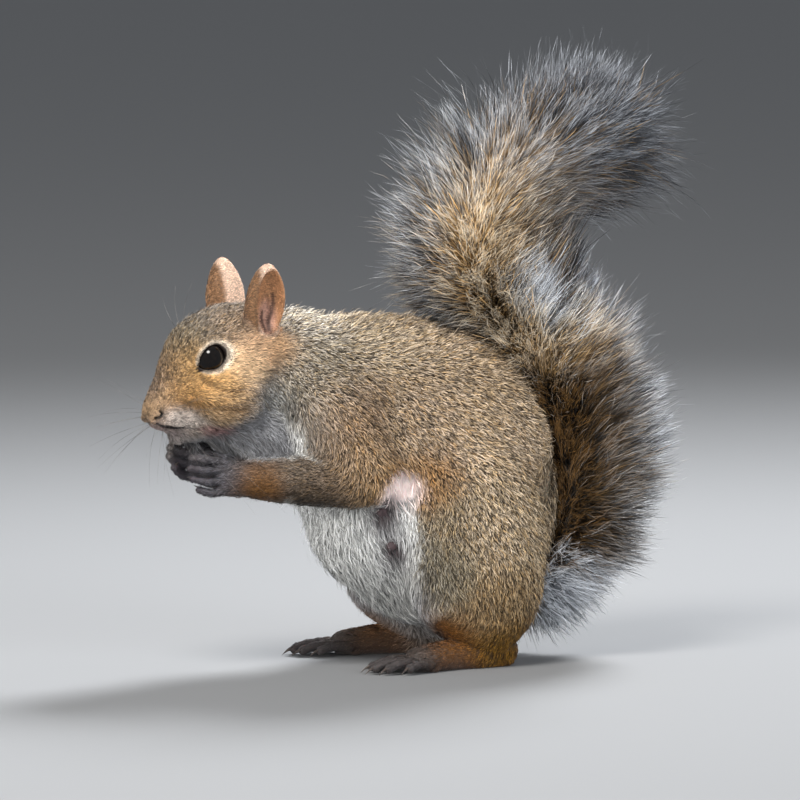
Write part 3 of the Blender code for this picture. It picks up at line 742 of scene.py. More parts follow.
nostrilLine = (
    (6.6, -104.9, 96.9), (7.0, -104.3, 95.9), (7.0, -104.4, 94.9), (6.4, -105.1, 94.1), (5.3, -106.3, 93.7),
)
mouthLine = (
    (0, -107.6, 90.6), (3, -106.8, 91.0), (5.5, -105.4, 91.6), (7.2, -103.4, 91.2),
    (8.2, -101.3, 91.0), (8.4, -98.5, 90.2), (9.6, -94, 89.6), (11, -90, 89.8),
)
lidFold = ((12.4, -91.6, 108.6), (16.9, -89.3, 105.8), (19.4, -85.6, 104.4), (19.9, -80.0, 105.3))
earFolds = (
    ((2.7, 0, 2.0), (3.1, 0, -1.0), (2.6, 0, -4.5), (1.3, 0, -8.0), (1.8, 0, -11.5)),
    ((-1.0, 0, -4.5), (-1.6, 0, -7.5), (0.0, 0, -11.0)),
)
cheekFold = ((9.5, -96.5, 99.5), (14, -91, 99.3), (18, -86, 98.4), (20, -79.5, 97.8))


def alongLine(line, sign, count):
    places = np.array(line, float) * (sign, 1, 1)
    at = np.linspace(0, len(places) - 1, count)
    return np.stack([np.interp(at, range(len(places)), places[:, axis]) for axis in range(3)], 1)


def nearLine(points, line, sign, size):
    # 1 on a line, falling to 0 a little beyond size from it, however deep the groove there is
    best = np.full(len(points), 1e9)
    for spot in alongLine(line, sign, 24):
        out = unit(spot - (0, spot[1] + 3, 96))
        gap = points - spot
        best = np.minimum(best, (gap ** 2).sum(1) - 0.89 * (gap @ out) ** 2)
    return np.exp(-best / size ** 2)


grooves = ((nostrilLine, 0.75, 1.5), (mouthLine, 0.6, 1.0), (lidFold, 1.3, 0.7), (cheekFold, 1.6, 0.9))


def sculptFace(mesh):
    points, normals = pointsOf(mesh), normalsOf(mesh)
    press(points, normals, (0, -103.5, 110), (10, 8, 11), 1.4)  # the dip above the nose
    jaw = within(points, (0, -106, 84), (14, 9, 7), 0.4)
    points[:, 1] += 3.0 * jaw
    points[:, 2] += 1.2 * jaw
    press(points, normals, (0, -111.5, 91), (7, 5, 4.4), 4.0)  # the nose ends bluntly
    press(points, normals, (0, -93, 126.5), (12, 10, 7), -2.4)  # full brow
    for sign in sides.values():
        for line, size, deep in grooves:
            points -= normals * (nearLine(points, line, sign, size) * deep)[:, None]
        press(points, normals, (14 * sign, -64, 78), (9, 12, 5), 1.6)  # slim wrist
        press(points, normals, (18.5 * sign, -84, 101.5), (4, 6, 3), -0.9)  # fullness of the cheek
    for step in range(5):  # cleft between the nostrils
        press(points, normals, (0, -109.8 + 0.6 * step, 92 - 0.8 * step), (0.45, 1.0, 0.8), 0.5)
    movePoints(mesh, points)


def liftOffFloor(mesh):
    # flattens whatever would reach into the floor
    points = pointsOf(mesh)
    points[:, 2] = np.maximum(points[:, 2], 0.05)
    movePoints(mesh, points)


def thinOut(skin):
    # fewer triangles where the skin is smooth
    skin.data.calc_loop_triangles()
    count = len(skin.data.loop_triangles)
    thin = skin.modifiers.new("thin", "DECIMATE")
    thin.ratio = min(1, skinShape["triangles"] / count)
    applyAll(skin)
    print("skin thinned from", count)


def storeFloat(mesh, name, values):
    layer = mesh.attributes.new(name, "FLOAT", "POINT")
    layer.data.foreach_set("value", np.asarray(values, np.float32))


def storeColour(mesh, name, colours):
    layer = mesh.attributes.new(name, "FLOAT_COLOR", "POINT")
    full = np.concatenate([colours, np.ones((len(colours), 1))], 1)
    layer.data.foreach_set("color", full.astype(np.float32).ravel())


class Nodes:
    # short ways to add and join shader nodes
    def __init__(self, name):
        self.material = bpy.data.materials.new(name)
        self.material.use_nodes = True
        self.tree = self.material.node_tree
        self.shader = self.tree.nodes["Principled BSDF"]

    def add(self, kind, **values):
        node = self.tree.nodes.new(kind)
        for key, value in values.items():
            setattr(node, key, value)
        return node

    def join(self, output, socket):
        self.tree.links.new(output, socket)

    def attribute(self, name, output="Fac"):
        return self.add("ShaderNodeAttribute", attribute_name=name).outputs[output]

    def math(self, operation, first, second=None, clamp=False):
        node = self.add("ShaderNodeMath", operation=operation, use_clamp=clamp)
        for number, value in enumerate((first, second)):
            if value is None:
                continue
            if isinstance(value, (int, float)):
                node.inputs[number].default_value = value
            else:
                self.join(value, node.inputs[number])
        return node.outputs[0]

    def shuffle(self, value, times):
        # another number from 0 to 1 for each value, which has nothing to do with the first
        return self.math("FRACT", self.math("MULTIPLY", value, times))

    def ramp(self, value, stops, interpolation="LINEAR"):
        node = self.add("ShaderNodeValToRGB")
        node.color_ramp.interpolation = interpolation
        while len(node.color_ramp.elements) < len(stops):
            node.color_ramp.elements.new(0.5)
        for element, (place, colour) in zip(node.color_ramp.elements, stops):
            element.position = place
            element.color = (*colour, 1) if isinstance(colour, tuple) else (colour,) * 3 + (1,)
        self.join(value, node.inputs[0])
        return node.outputs[0]

    def mix(self, share, first, second, way="MIX"):
        node = self.add("ShaderNodeMix", data_type="RGBA", blend_type=way)
        for number, value in ((0, share), (6, first), (7, second)):
            socket = node.inputs[number]
            if isinstance(value, (int, float)):
                socket.default_value = value
            elif isinstance(value, tuple):
                socket.default_value = (*value, 1)
            else:
                self.join(value, socket)
        return node.outputs[2]

    def noise(self, scale, detail=3, vector=None):
        node = self.add("ShaderNodeTexNoise")
        node.inputs["Scale"].default_value = scale
        node.inputs["Detail"].default_value = detail
        place = vector or self.add("ShaderNodeTexCoord").outputs["Object"]
        self.join(place, node.inputs["Vector"])
        return node.outputs["Fac"]

    def bump(self, height, strength, distance):
        node = self.add("ShaderNodeBump")
        node.inputs["Strength"].default_value = strength
        node.inputs["Distance"].default_value = distance
        self.join(height, node.inputs["Height"])
        self.join(node.outputs["Normal"], self.shader.inputs["Normal"])

    def finish(self, colour, roughness, **fixed):
        if isinstance(colour, tuple):
            self.shader.inputs["Base Color"].default_value = (*colour, 1)
        else:
            self.join(colour, self.shader.inputs["Base Color"])
        if isinstance(roughness, (int, float)):
            self.shader.inputs["Roughness"].default_value = roughness
        else:
            self.join(roughness, self.shader.inputs["Roughness"])
        for name, value in fixed.items():
            self.shader.inputs[name.replace("_", " ")].default_value = value
        return self.material


def skinMaterial():
    make = Nodes("skinUnderCoat")
    pelt = make.attribute("pelt", "Color")
    cover = make.attribute("cover")
    # painted shade: under the coat the skin is darkened, so that the gaps between tufts read as shadow
    gapShade = make.mix(0.62, pelt, (0.05, 0.042, 0.038))
    blotch = make.ramp(make.noise(260, 4), ((0.3, 0.78), (0.7, 1.12)))
    bare = make.mix(1.0, pelt, blotch, "MULTIPLY")
    colour = make.mix(make.ramp(cover, ((0.25, 0.0), (0.8, 1.0))), bare, gapShade)
    crease = make.add("ShaderNodeTexVoronoi", feature="DISTANCE_TO_EDGE")
    crease.inputs["Scale"].default_value = 1500
    make.join(make.add("ShaderNodeTexCoord").outputs["Object"], crease.inputs["Vector"])
    wrinkles = make.math("ADD", crease.outputs["Distance"], make.noise(900, 3))
    make.bump(wrinkles, 0.5, 0.0003)
    roughness = make.ramp(cover, ((0.0, 0.5), (0.8, 0.85)))
    return make.finish(colour, roughness, Subsurface_Weight=0.08, Subsurface_Scale=0.002)


def coatMaterial(name):
    # each hair is dark, then has one light band near its end, then a dark tip
    make = Nodes(name)
    pelt = make.attribute("pelt", "Color")
    ticking = make.attribute("ticking")
    along = make.attribute("along")
    chance = make.attribute("chance")
    patch = make.attribute("patch")  # the same for neighbouring hairs
    shift = make.math("MULTIPLY", make.math("SUBTRACT", chance, 0.5), 0.26)
    place = make.math("ADD", along, shift, clamp=True)
    dark = make.ramp(place, ((0, 1.0), (0.50, 1.0), (0.55, 0.0), (0.83, 0.0), (0.88, 1.0)))
    other = make.shuffle(patch, 57.31)
    allDark = make.ramp(other, ((0.0, 1.0), (0.12, 1.0), (0.13, 0.0)), "CONSTANT")
    allLight = make.ramp(other, ((0.0, 1.0), (0.80, 0.0)), "CONSTANT")
    dark = make.math("MULTIPLY", make.math("MAXIMUM", dark, allDark), allLight)
    share = make.math("MULTIPLY", dark, ticking, clamp=True)
    deep = make.mix(0.9, pelt, (0.024, 0.015, 0.008))
    value = make.ramp(make.shuffle(patch, 23.7), ((0, 0.45), (1, 1.6)))
    rust = make.ramp(make.shuffle(chance, 41.3), (
        (0.35, (1.0, 1.0, 1.0)), (0.8, (0.95, 0.86, 0.66)), (1.0, (0.8, 0.62, 0.38)),
    ))
    warmth = make.mix(ticking, (1, 1, 1), rust)
    light = make.mix(1.0, make.mix(1.0, pelt, value, "MULTIPLY"), warmth, "MULTIPLY")
    root = make.ramp(along, ((0, 0.6), (0.4, 1.0)))
    colour = make.mix(1.0, make.mix(share, light, deep), root, "MULTIPLY")
    return make.finish(colour, 0.5, Specular_IOR_Level=0.35, Sheen_Weight=0.08, Sheen_Roughness=0.4)


def brushMaterial():
    # tail hair: gold near the bone, then a black band, then a silver or a pale gold end
    make = Nodes("tailBrush")
    chance = make.attribute("chance")
    gap = make.attribute("toTip")
    shift = make.math("MULTIPLY", make.math("SUBTRACT", chance, 0.5), 8.0)
    place = make.math("DIVIDE", make.math("ADD", gap, shift), 50.0, clamp=True)
    cold = make.ramp(place, (
        (0.0, (0.88, 0.91, 0.96)), (0.04, (0.50, 0.52, 0.56)), (0.14, (0.36, 0.38, 0.41)),
        (0.21, (0.06, 0.063, 0.072)), (0.42, (0.050, 0.050, 0.055)), (0.5, (0.46, 0.31, 0.16)),
        (0.68, (0.42, 0.26, 0.12)), (0.8, (0.08, 0.055, 0.035)), (1.0, (0.26, 0.16, 0.07)),
    ))
    gold = make.ramp(place, (
        (0.0, (0.90, 0.78, 0.60)), (0.10, (0.88, 0.64, 0.38)), (0.14, (0.10, 0.074, 0.048)),
        (0.19, (0.09, 0.064, 0.038)), (0.24, (0.88, 0.57, 0.26)), (0.46, (0.78, 0.45, 0.165)),
        (0.58, (0.11, 0.07, 0.04)), (1.0, (0.42, 0.24, 0.09)),
    ))
    # umber hair for the side of the lower brush that faces the back, whose near-black stretch is painted
    # shade
    umberAndShade = make.ramp(place, (
        (0.0, (0.15, 0.075, 0.02)), (0.10, (0.11, 0.055, 0.014)), (0.14, (0.008, 0.006, 0.004)),
        (0.34, (0.008, 0.006, 0.004)), (0.42, (0.17, 0.085, 0.022)), (1.0, (0.03, 0.018, 0.01)),
    ))
    value = make.ramp(make.shuffle(chance, 31.7), ((0, 0.6), (1, 1.25)))
    colour = make.mix(make.attribute("umberAndShade"), make.mix(make.attribute("warm"), cold, gold), umberAndShade)
    # painted shade: darker where the hair tips lie in the gap between the back and the brush
    colour = make.mix(1.0, make.mix(1.0, colour, value, "MULTIPLY"), make.attribute("paintedShade"), "MULTIPLY")
    root = make.ramp(make.attribute("along"), ((0, 0.4), (0.4, 1.0)))
    return make.finish(make.mix(1.0, colour, root, "MULTIPLY"), 0.5, Specular_IOR_Level=0.3,
                       Sheen_Weight=0.06, Sheen_Roughness=0.4)


def settle(tree, points):
    # the nearest place on the skin to each point, and the way out of the skin there
    places, outs = np.empty_like(points), np.empty_like(points)
    for number, point in enumerate(points * mm):
        places[number], outs[number] = tree.find_nearest(point)[:2]
    return places / mm, outs


tuftLook = {
    "sections": 2, "width": 0.16, "widthPerLength": 0.020, "sink": 0.25, "lowest": 0.15,
    "lengths": (0.72, 1.15), "depths": (0.55, 1.08), "widths": (0.75, 1.2),  # least and most, as shares
    "roll": 0.6, "stray": 0.3, "curve": 1.7, "round": 0.55, "fluff": 0.16,
    "clump": 2.6, "clumpStray": 0.10, "whorl": 9, "uneven": 0.36,  # neighbours turn and rise together
    "lock": 0.75, "lockFrom": 5, "lockOver": 3.5,  # tips of long hair draw together
    "guardShare": 0.05, "guardDepth": 1.7, "guardLength": 1.15, "guardWidth": 0.6,
    "alike": 0.78, "blur": 0.25,  # share coloured as its neighbours are, and how far grains mix
}
# places of the cross lines along a tuft, and how wide it is at each before its point
bladeForms = {
    2: ((0, 0.68), (0.8, 1.0)),
    5: ((0, 0.22, 0.44, 0.66, 0.88), (0.8, 1.0, 1.0, 0.9, 0.65)),
}
uvPatch = 0.003  # how wide and high a tuft's own place is on the map
uvRoom = 0.994  # the share of the map that the brush's tufts root in


def bladeMesh(name, spine, sideways, width, sections):
    # spine is (tufts, sections + 1, 3) and every tuft is a tapered blade that ends in a point
    count = len(spine)
    taper = np.array(bladeForms[sections][1])
    half = (width[:, None] * taper[None] / 2)[..., None] * sideways[:, :sections]
    pairs = np.stack([spine[:, :sections] - half, spine[:, :sections] + half], 2)
    points = np.concatenate([pairs.reshape(count, -1, 3), spine[:, sections:]], 1)
    perTuft = 2 * sections + 1
    base = np.arange(count)[:, None] * perTuft
    quads = [(2 * j, 2 * j + 1, 2 * j + 3, 2 * j + 2) for j in range(sections - 1)]
    point = (2 * sections - 2, 2 * sections - 1, 2 * sections)
    corners = np.array([*(corner for quad in quads for corner in quad), *point])
    loops = (base + corners[None]).ravel()
    sizes = np.tile(np.array([4] * (sections - 1) + [3]), count)
    mesh = bpy.data.meshes.new(name)
    mesh.vertices.add(count * perTuft)
    mesh.vertices.foreach_set("co", (points.reshape(-1) * mm).astype(np.float32))
    mesh.loops.add(len(loops))
    mesh.loops.foreach_set("vertex_index", loops.astype(np.int32))
    mesh.polygons.add(len(sizes))
    starts = np.concatenate([[0], np.cumsum(sizes)[:-1]])
    mesh.polygons.foreach_set("loop_start", starts.astype(np.int32))
    mesh.update(calc_edges=True)
    mesh.shade_smooth()
    return mesh, loops


def buildTufts(name, spine, sideways, faceOut, width, sections, uv, floats, colour):
    # the blades with their place on the map, the values that they carry, and the way they catch light
    mesh, loops = bladeMesh(name, spine, sideways, width, sections)
    count, perTuft = len(spine), 2 * sections + 1
    step = np.append(np.repeat(bladeForms[sections][0], 2), 1.0)
    across = np.array([*(side for _ in range(sections) for side in (-1, 1)), 0.0])
    u = uv[:, :1] + across[None] * uvPatch / 2
    v = uv[:, 1:] + step[None] * uvPatch
    layer = mesh.uv_layers.new(name="OFBake")
    flat = np.stack([u, v], -1).reshape(-1, 2)[loops]
    layer.data.foreach_set("uv", np.clip(flat, 0, 1).astype(np.float32).ravel())
    storeFloat(mesh, "along", np.tile(step, count))
    for key, values in floats.items():
        full = values if values.ndim == 2 else np.repeat(values[:, None], perTuft, 1)
        storeFloat(mesh, key, full.ravel())
    if colour is not None:
        storeColour(mesh, "pelt", np.repeat(colour, perTuft, 0))
    bulge = np.append(np.repeat(sideways[:, :sections], 2, 1), sideways[:, -1:], 1)
    bulge = bulge * across[None, :, None] * tuftLook["round"]
    bulge = bulge + random.normal(0, tuftLook["fluff"], (count, 1, 3))
    normals = unit(faceOut[:, None] + bulge).reshape(-1, 3)
    mesh.normals_split_custom_set_from_vertices(normals.astype(np.float32))
    made = bpy.data.objects.new(name, mesh)
    bpy.context.scene.collection.objects.link(made)
    return made


def unwrapped(name, points, triangles):
    # the same triangles on a map of their own that fills the square
    mesh = bpy.data.meshes.new(name)
    mesh.from_pydata((points * mm).tolist(), [], triangles.tolist())
    piece = bpy.data.objects.new(name, mesh)
    bpy.context.scene.collection.objects.link(piece)
    bpy.context.view_layer.objects.active = piece
    piece.select_set(True)
    bpy.ops.object.mode_set(mode="EDIT")
    bpy.ops.mesh.select_all(action="SELECT")
    bpy.ops.uv.smart_project(angle_limit=math.radians(70), island_margin=0.004)
    bpy.ops.object.mode_set(mode="OBJECT")
    corners = readBack(mesh.uv_layers.active.data, "uv", 2)
    bpy.data.objects.remove(piece)
    return corners.reshape(-1, 3, 2)


def hashed(cells, seed):
    # a repeatable random number for each cell of a grid
    mixed = np.sin(cells @ np.array([12.9898, 78.233, 37.719]) + seed * 4.1414) * 43758.5453
    return mixed - np.floor(mixed)


def middleOfEach(group, points):
    # the middle of the points of each group, given to every one of them
    size = np.bincount(group)
    return np.stack([np.bincount(group, points[:, axis]) / size for axis in range(3)], 1)[group]


def followSkin(tree, root, out, along, length, depth, pull):
    # lays each tuft down on the skin step by step, risen from it by more and more of its depth
    sections = tuftLook["sections"]
    count = len(root)
    spine = np.empty((count, sections + 1, 3))
    across = np.empty((count, sections, 3))
    spine[:, 0] = root - out * tuftLook["sink"]
    roll = random.normal(0, tuftLook["roll"], count)[:, None]
    heading, place = along, root
    marksAlong = (*bladeForms[sections][0], 1)
    for step in range(1, sections + 1):
        before, t = marksAlong[step - 1], marksAlong[step]
        rise = (depth * (1 - (1 - t) ** tuftLook["curve"]))[:, None]
        place = place + heading * (length * (t - before))[:, None]
        place = place + pull * (t ** 1.5 - before ** 1.5)
        place, away = settle(tree, place)
        spine[:, step] = place + away * rise
        heading = unit(heading - away * (heading * away).sum(1, keepdims=True))
        if step < sections:
            across[:, step] = np.cross(heading, away) * np.cos(roll) + away * np.sin(roll)
    across[:, 0] = across[:, 1]
    spine[..., 2] = np.maximum(spine[..., 2], tuftLook["lowest"])
    return spine, across


def seedTufts(name, skinData, chosen, coverage):
    # where each tuft roots, the way that the hair lies there, its size and its colour
    points, triangles, normals, field = skinData
    local = triangles[chosen]
    used, compact = np.unique(local, return_inverse=True)
    uvs = unwrapped(name, points[used], compact.reshape(-1, 3))
    corner = points[local]
    area = np.linalg.norm(np.cross(corner[:, 1] - corner[:, 0], corner[:, 2] - corner[:, 0]), axis=1) / 2
    length = field["length"][local].mean(1)
    wide = tuftLook["width"] + tuftLook["widthPerLength"] * length
    hope = area * field["cover"][local].mean(1) * coverage / (length * wide)
    copies = np.floor(hope + random.random(len(hope))).astype(int)
    face = np.repeat(np.arange(len(local)), copies)
    count = len(face)
    bary = random.dirichlet((1, 1, 1), count)

    def at(values):
        return (values[local[face]] * (bary[..., None] if values.ndim == 2 else bary)).sum(1)

    length = at(field["length"]) * random.uniform(*tuftLook["lengths"], count)
    depth = at(field["depth"]) * random.uniform(*tuftLook["depths"], count)
    wide = tuftLook["width"] + tuftLook["widthPerLength"] * length
    return {
        "root": at(points), "out": unit(at(normals)), "lie": at(field["lie"]),
        "length": length, "depth": depth, "wide": wide * random.uniform(*tuftLook["widths"], count),
        "uv": (uvs[face] * bary[..., None]).sum(1),
        "ticking": at(field["ticking"]), "colour": at(field["colour"]),
    }


def growCoat(name, skinData, chosen, tree, coverage, grain, material):
    # neighbouring tufts turn, rise and draw together in clumps
    tuft = seedTufts(name, skinData, chosen, coverage)
    root, out, lie = tuft["root"], tuft["out"], tuft["lie"]
    length, depth, wide = tuft["length"], tuft["depth"], tuft["wide"]
    count = len(root)
    cell = np.floor(root / tuftLook["clump"] + hashed(np.floor(root / tuftLook["whorl"]), 5)[:, None])
    turn = (hashed(cell, 1) - 0.5) * 2 * tuftLook["clumpStray"] * 2
    turn += random.normal(0, tuftLook["stray"], count)
    depth *= 0.82 + tuftLook["uneven"] * hashed(cell, 2)
    guard = random.random(count) < tuftLook["guardShare"]  # long fine hairs that stand out of the coat
    depth = np.where(guard, depth * tuftLook["guardDepth"], depth)
    length = np.where(guard, length * tuftLook["guardLength"], length)
    wide = np.where(guard, wide * tuftLook["guardWidth"], wide)
    along = unit(lie - out * (lie * out).sum(1, keepdims=True))
    along = unit(along + np.cross(out, along) * turn[:, None])
    clump = np.unique(cell @ np.array([1, 1000, 1000000]), return_inverse=True)[1]
    pull = middleOfEach(clump, root) - root
    pull *= (tuftLook["lock"] * rising(length, tuftLook["lockFrom"], tuftLook["lockOver"]))[:, None]
    spine, across = followSkin(tree, root, out, along, length, depth, pull)
    chance = random.random(count)
    patch = hashed(np.floor((root + random.normal(0, tuftLook["blur"], root.shape)) / grain), 7)
    patch = np.where(random.random(count) < tuftLook["alike"], patch, chance)
    floats = {"chance": chance, "patch": patch, "ticking": tuft["ticking"]}
    made = buildTufts(name, spine, across, out, wide, tuftLook["sections"], tuft["uv"], floats,
                      tuft["colour"])
    made.data.materials.append(material)
    print("tufts", name, count)
    return made


coatGroups = {  # CAD nodes under it, thickness of growth, size of the grain, material slot
    "Head": (("head",), 6.0, 1.05, "face_fur"), "Neck": (("neck",), 7.0, 0.8, "agouti_fur"),
    "Trunk": (("trunk",), 7.5, 0.75, "agouti_fur"), "Haunch": (("thigh",), 7.5, 0.75, "agouti_fur"),
    "Arm": (("upper_arm", "forearm"), 6.5, 0.85, "agouti_fur"),
    "Paw": (("forepaw", "hind_foot"), 3.0, 0.8, "foot_fur"), "Ear": (("ear",), 5.0, 0.5, "ear_skin"),
}


def nearestNode(points):
    # which CAD node each point of the skin belongs to
    names = [name for name in nodes if not name.startswith(("eye", "tail"))]
    best = np.full(len(points), 1e9)
    label = np.zeros(len(points), int)
    for number, name in enumerate(names):
        cloud = pointsOf(nodes[name].data)
        cloud = cloud[:: max(1, len(cloud) // 260)]
        for start in range(0, len(points), 30000):
            piece = points[start:start + 30000]
            square = (piece ** 2).sum(1)[:, None] + (cloud ** 2).sum(1)[None] - 2 * piece @ cloud.T
            away = square.min(1)
            closer = away < best[start:start + 30000]
            best[start:start + 30000][closer] = away[closer]
            label[start:start + 30000][closer] = number
    return names, label


def growCoats(skinData, tree):
    points, triangles = skinData[:2]
    middle = points[triangles].mean(1)
    names, label = nearestNode(middle)
    fur = coatMaterial("agoutiCoat")
    for group, (starts, coverage, grain, slot) in coatGroups.items():
        mine = np.array([name.startswith(starts) for name in names])[label]
        for side, sign in sides.items():
            chosen = np.flatnonzero(mine & (middle[:, 0] * sign > 0))
            piece = growCoat("coat" + group + side.title(), skinData, chosen, tree, coverage, grain, fur)
            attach(piece, "root")


# the brush of the tail
brush = {
    "count": 74000, "sections": 5, "width": 0.30, "shortest": 3, "longest": 64, "lowest": 0.2,
    "spread": 60, "tipSpread": 26, "footFan": (-10, 85), "stray": 10,  # degrees from the bone
    "endShare": 0.07, "endFan": 34,  # hairs that leave from the very end of the bone
    "boneLength": 235, "lockLength": 6.0, "lockTurn": 16,  # a lock's share of the bone, along and around
    "lockBlur": 0.22, "lockFan": 18, "lockUneven": 0.33,
    "outerGrowth": 13, "lowerGrowth": 6.5, "tipGrowth": 13, "underGrowth": 12,
    "fringeShare": 0.3, "fringeWidth": 0.6, "fringeReach": (1.0, 1.22),
    "ragged": 0.40, "raggedEnd": 0.16,  # how much shorter some hairs are, and how much more near the end
    "pull": 0.75, "wave": 1.8, "swing": 2.6, "curl": 8, "droop": 0.05, "roll": 0.6,
}
brushZones = {  # ellipsoids that hold the tips of some of its hairs: middle, radii
    "silver": ((24, 46, 144), (26, 16, 14)), "foot": ((0, 54, 18), (60, 28, 22)),
    "shade": ((0, 18, 130), (60, 26, 18)),
}
brushCuts = {"Base": (0, 0.36), "Middle": (0.36, 0.62), "Upper": (0.62, 0.82), "End": (0.82, 1.01)}


def tailEnvelope():
    hull = meshObject("envelope", copiesOf(nodesStarting("tail"), 0.4))
    remeshed(hull, 2.2, 4)
    bm = bmesh.new()
    bm.from_mesh(hull.data)
    bpy.data.objects.remove(hull)
    tree = BVHTree.FromBMesh(bm)
    bm.free()
    return tree


def bonePoints(share):
    # places along the bone, and the way it runs there, for shares from 0 to 1
    places = np.array([place for place, radius in tailBone], float)
    radii = np.array([radius for place, radius in tailBone])
    marks = np.concatenate([[0], np.cumsum(np.linalg.norm(np.diff(places, axis=0), axis=1))])
    marks /= marks[-1]
    fine = np.linspace(0, 1, 400)
    track = np.stack([np.interp(fine, marks, places[:, axis]) for axis in range(3)], 1)
    kernel = np.ones(31) / 31
    padded = np.concatenate([np.repeat(track[:1], 15, 0), track, np.repeat(track[-1:], 15, 0)])
    track = np.stack([np.convolve(padded[:, axis], kernel, "valid") for axis in range(3)], 1)
    way = unit(np.gradient(track, axis=0))
    at = np.stack([np.interp(share, fine, track[:, axis]) for axis in range(3)], 1)
    run = unit(np.stack([np.interp(share, fine, way[:, axis]) for axis in range(3)], 1))
    return at, run, np.interp(share, marks, radii)


def seedBrush():
    # where each hair of the brush roots in the bone, its lock, and the way that it leaves
    count = brush["count"]
    share = 0.03 + 0.95 * random.random(count) ** 0.95
    share = np.where(random.random(count) < brush["endShare"], 1 - 0.02 * random.random(count), share)
    around = random.uniform(0, 2 * math.pi, count)
    place, run, radius = bonePoints(share)
    aside = np.tile((1.0, 0, 0), (count, 1))
    up = np.cross(run, aside)  # towards the body in the lower tail, outwards in the upper
    ring = share * brush["boneLength"] / brush["lockLength"] + random.normal(0, brush["lockBlur"], count)
    sector = np.degrees(around) / brush["lockTurn"] + random.normal(0, brush["lockBlur"], count)
    cells = np.floor(np.stack([ring, sector, ring * 0], 1))
    radial = aside * np.cos(around)[:, None] + up * np.sin(around)[:, None]
    near = np.clip((share - 0.68) / 0.32, 0, 1)
    angle = brush["spread"] * (1 - near) + brush["tipSpread"] * near
    angle = angle + falling(share, 0.26, 0.2) * random.uniform(*brush["footFan"], count)
    angle = angle + random.normal(0, brush["stray"], count) + (hashed(cells, 3) - 0.5) * brush["lockFan"]
    angle = np.where(share > 0.975, np.abs(random.normal(0, brush["endFan"], count)), angle)
    angle = np.radians(np.clip(angle, 0, 140))
    way = run * np.cos(angle)[:, None] + radial * np.sin(angle)[:, None]
    return {
        "share": share, "around": around, "cells": cells, "run": run, "radial": radial, "way": way,
        "root": place + radial * (radius * 0.7)[:, None],
    }


def measureBrush(hair, tree):
    # each hair reaches the outside of the brush, or a little past it, and the short ones go
    share, way = hair["share"], hair["way"]
    count = len(share)
    reach = np.empty(count)
    for number in range(count):
        hit = tree.ray_cast(Vector(hair["root"][number] * mm), Vector(way[number]))
        reach[number] = hit[3] / mm if hit[0] is not None else 6.0
    length = np.minimum(reach, brush["longest"] * random.uniform(0.86, 1.0, count))
    back = np.clip(way[:, 1], 0, 1)
    outer = np.clip(-way[:, 1] * 0.75 + way[:, 2] * 0.75, 0, 1) * rising(share, 0.42, 0.2)
    lower = back * falling(share, 0.62, 0.2)
    beneath = np.clip(way[:, 1] * 0.4 - way[:, 2] * 0.9, 0, 1) * rising(share, 0.68, 0.1)
    length += brush["outerGrowth"] * outer + brush["lowerGrowth"] * lower
    length += brush["tipGrowth"] * rising(share, 0.8, 0.15) * back
    length += brush["underGrowth"] * beneath
    sparse = rising(share, 0.45, 0.15)  # the raised end thins out towards its tips
    ragged = brush["ragged"] + brush["raggedEnd"] * sparse
    length *= 1 - ragged * random.random(count) ** (1.2 - 0.35 * sparse)
    length *= 0.79 + brush["lockUneven"] * hashed(hair["cells"], 4)
    fringe = random.random(count) < brush["fringeShare"]
    length = np.where(fringe, length * random.uniform(*brush["fringeReach"], count), length)
    keep = length > brush["shortest"]
    hair.update(length=length, fringe=fringe)
    return {name: values[keep] for name, values in hair.items()}


def bendBrush(hair):
    # the hairs' spines: those of a lock draw together and curl the same way
    way, length, fringe = hair["way"], hair["length"], hair["fringe"]
    count = len(length)
    hair["tip"] = hair["root"] + way * length[:, None]
    lock = np.unique(hair["cells"][:, 0] * 1000 + hair["cells"][:, 1], return_inverse=True)[1]
    pull = middleOfEach(lock, hair["tip"]) - hair["tip"]
    pull *= (brush["pull"] * random.uniform(0.4, 1.3, count))[:, None]
    swing = unit(np.cross(way, random.normal(0, 1, (count, 3))))
    swing *= (brush["swing"] * random.random(count) * length / 40)[:, None]
    wave = unit(np.cross(way, random.normal(0, 1, (count, 3))))
    wave *= (brush["wave"] * random.uniform(0.3, 1.5, count) * length / 40)[:, None]
    phase = random.uniform(0, 2 * math.pi, count)
    shared = random.normal(0, 1, (lock.max() + 1, 4))[lock]
    curl = unit(np.cross(way, shared[:, :3] + random.normal(0, 0.6, (count, 3))))
    bent = np.minimum(np.abs(shared[:, 3]), 1.5) * random.uniform(0.5, 1.3, count)
    bent = bent * np.where(fringe, 1, 0.5)
    curl *= (brush["curl"] * bent * length / 50)[:, None]
    droop = unit(hair["radial"] - hair["run"] * 0.4) * (length * brush["droop"])[:, None]
    sections = brush["sections"]
    spine = np.empty((count, sections + 1, 3))
    for step, t in enumerate((*bladeForms[sections][0], 1)):
        ripple = wave * (np.sin(t * 7 + phase) * t)[:, None]
        spine[:, step] = hair["root"] + way * (length * t)[:, None] + pull * t ** 1.6
        spine[:, step] += (swing - droop) * math.sin(t * math.pi) + ripple + curl * t ** 3
    spine[..., 2] = np.maximum(spine[..., 2], brush["lowest"])
    return spine


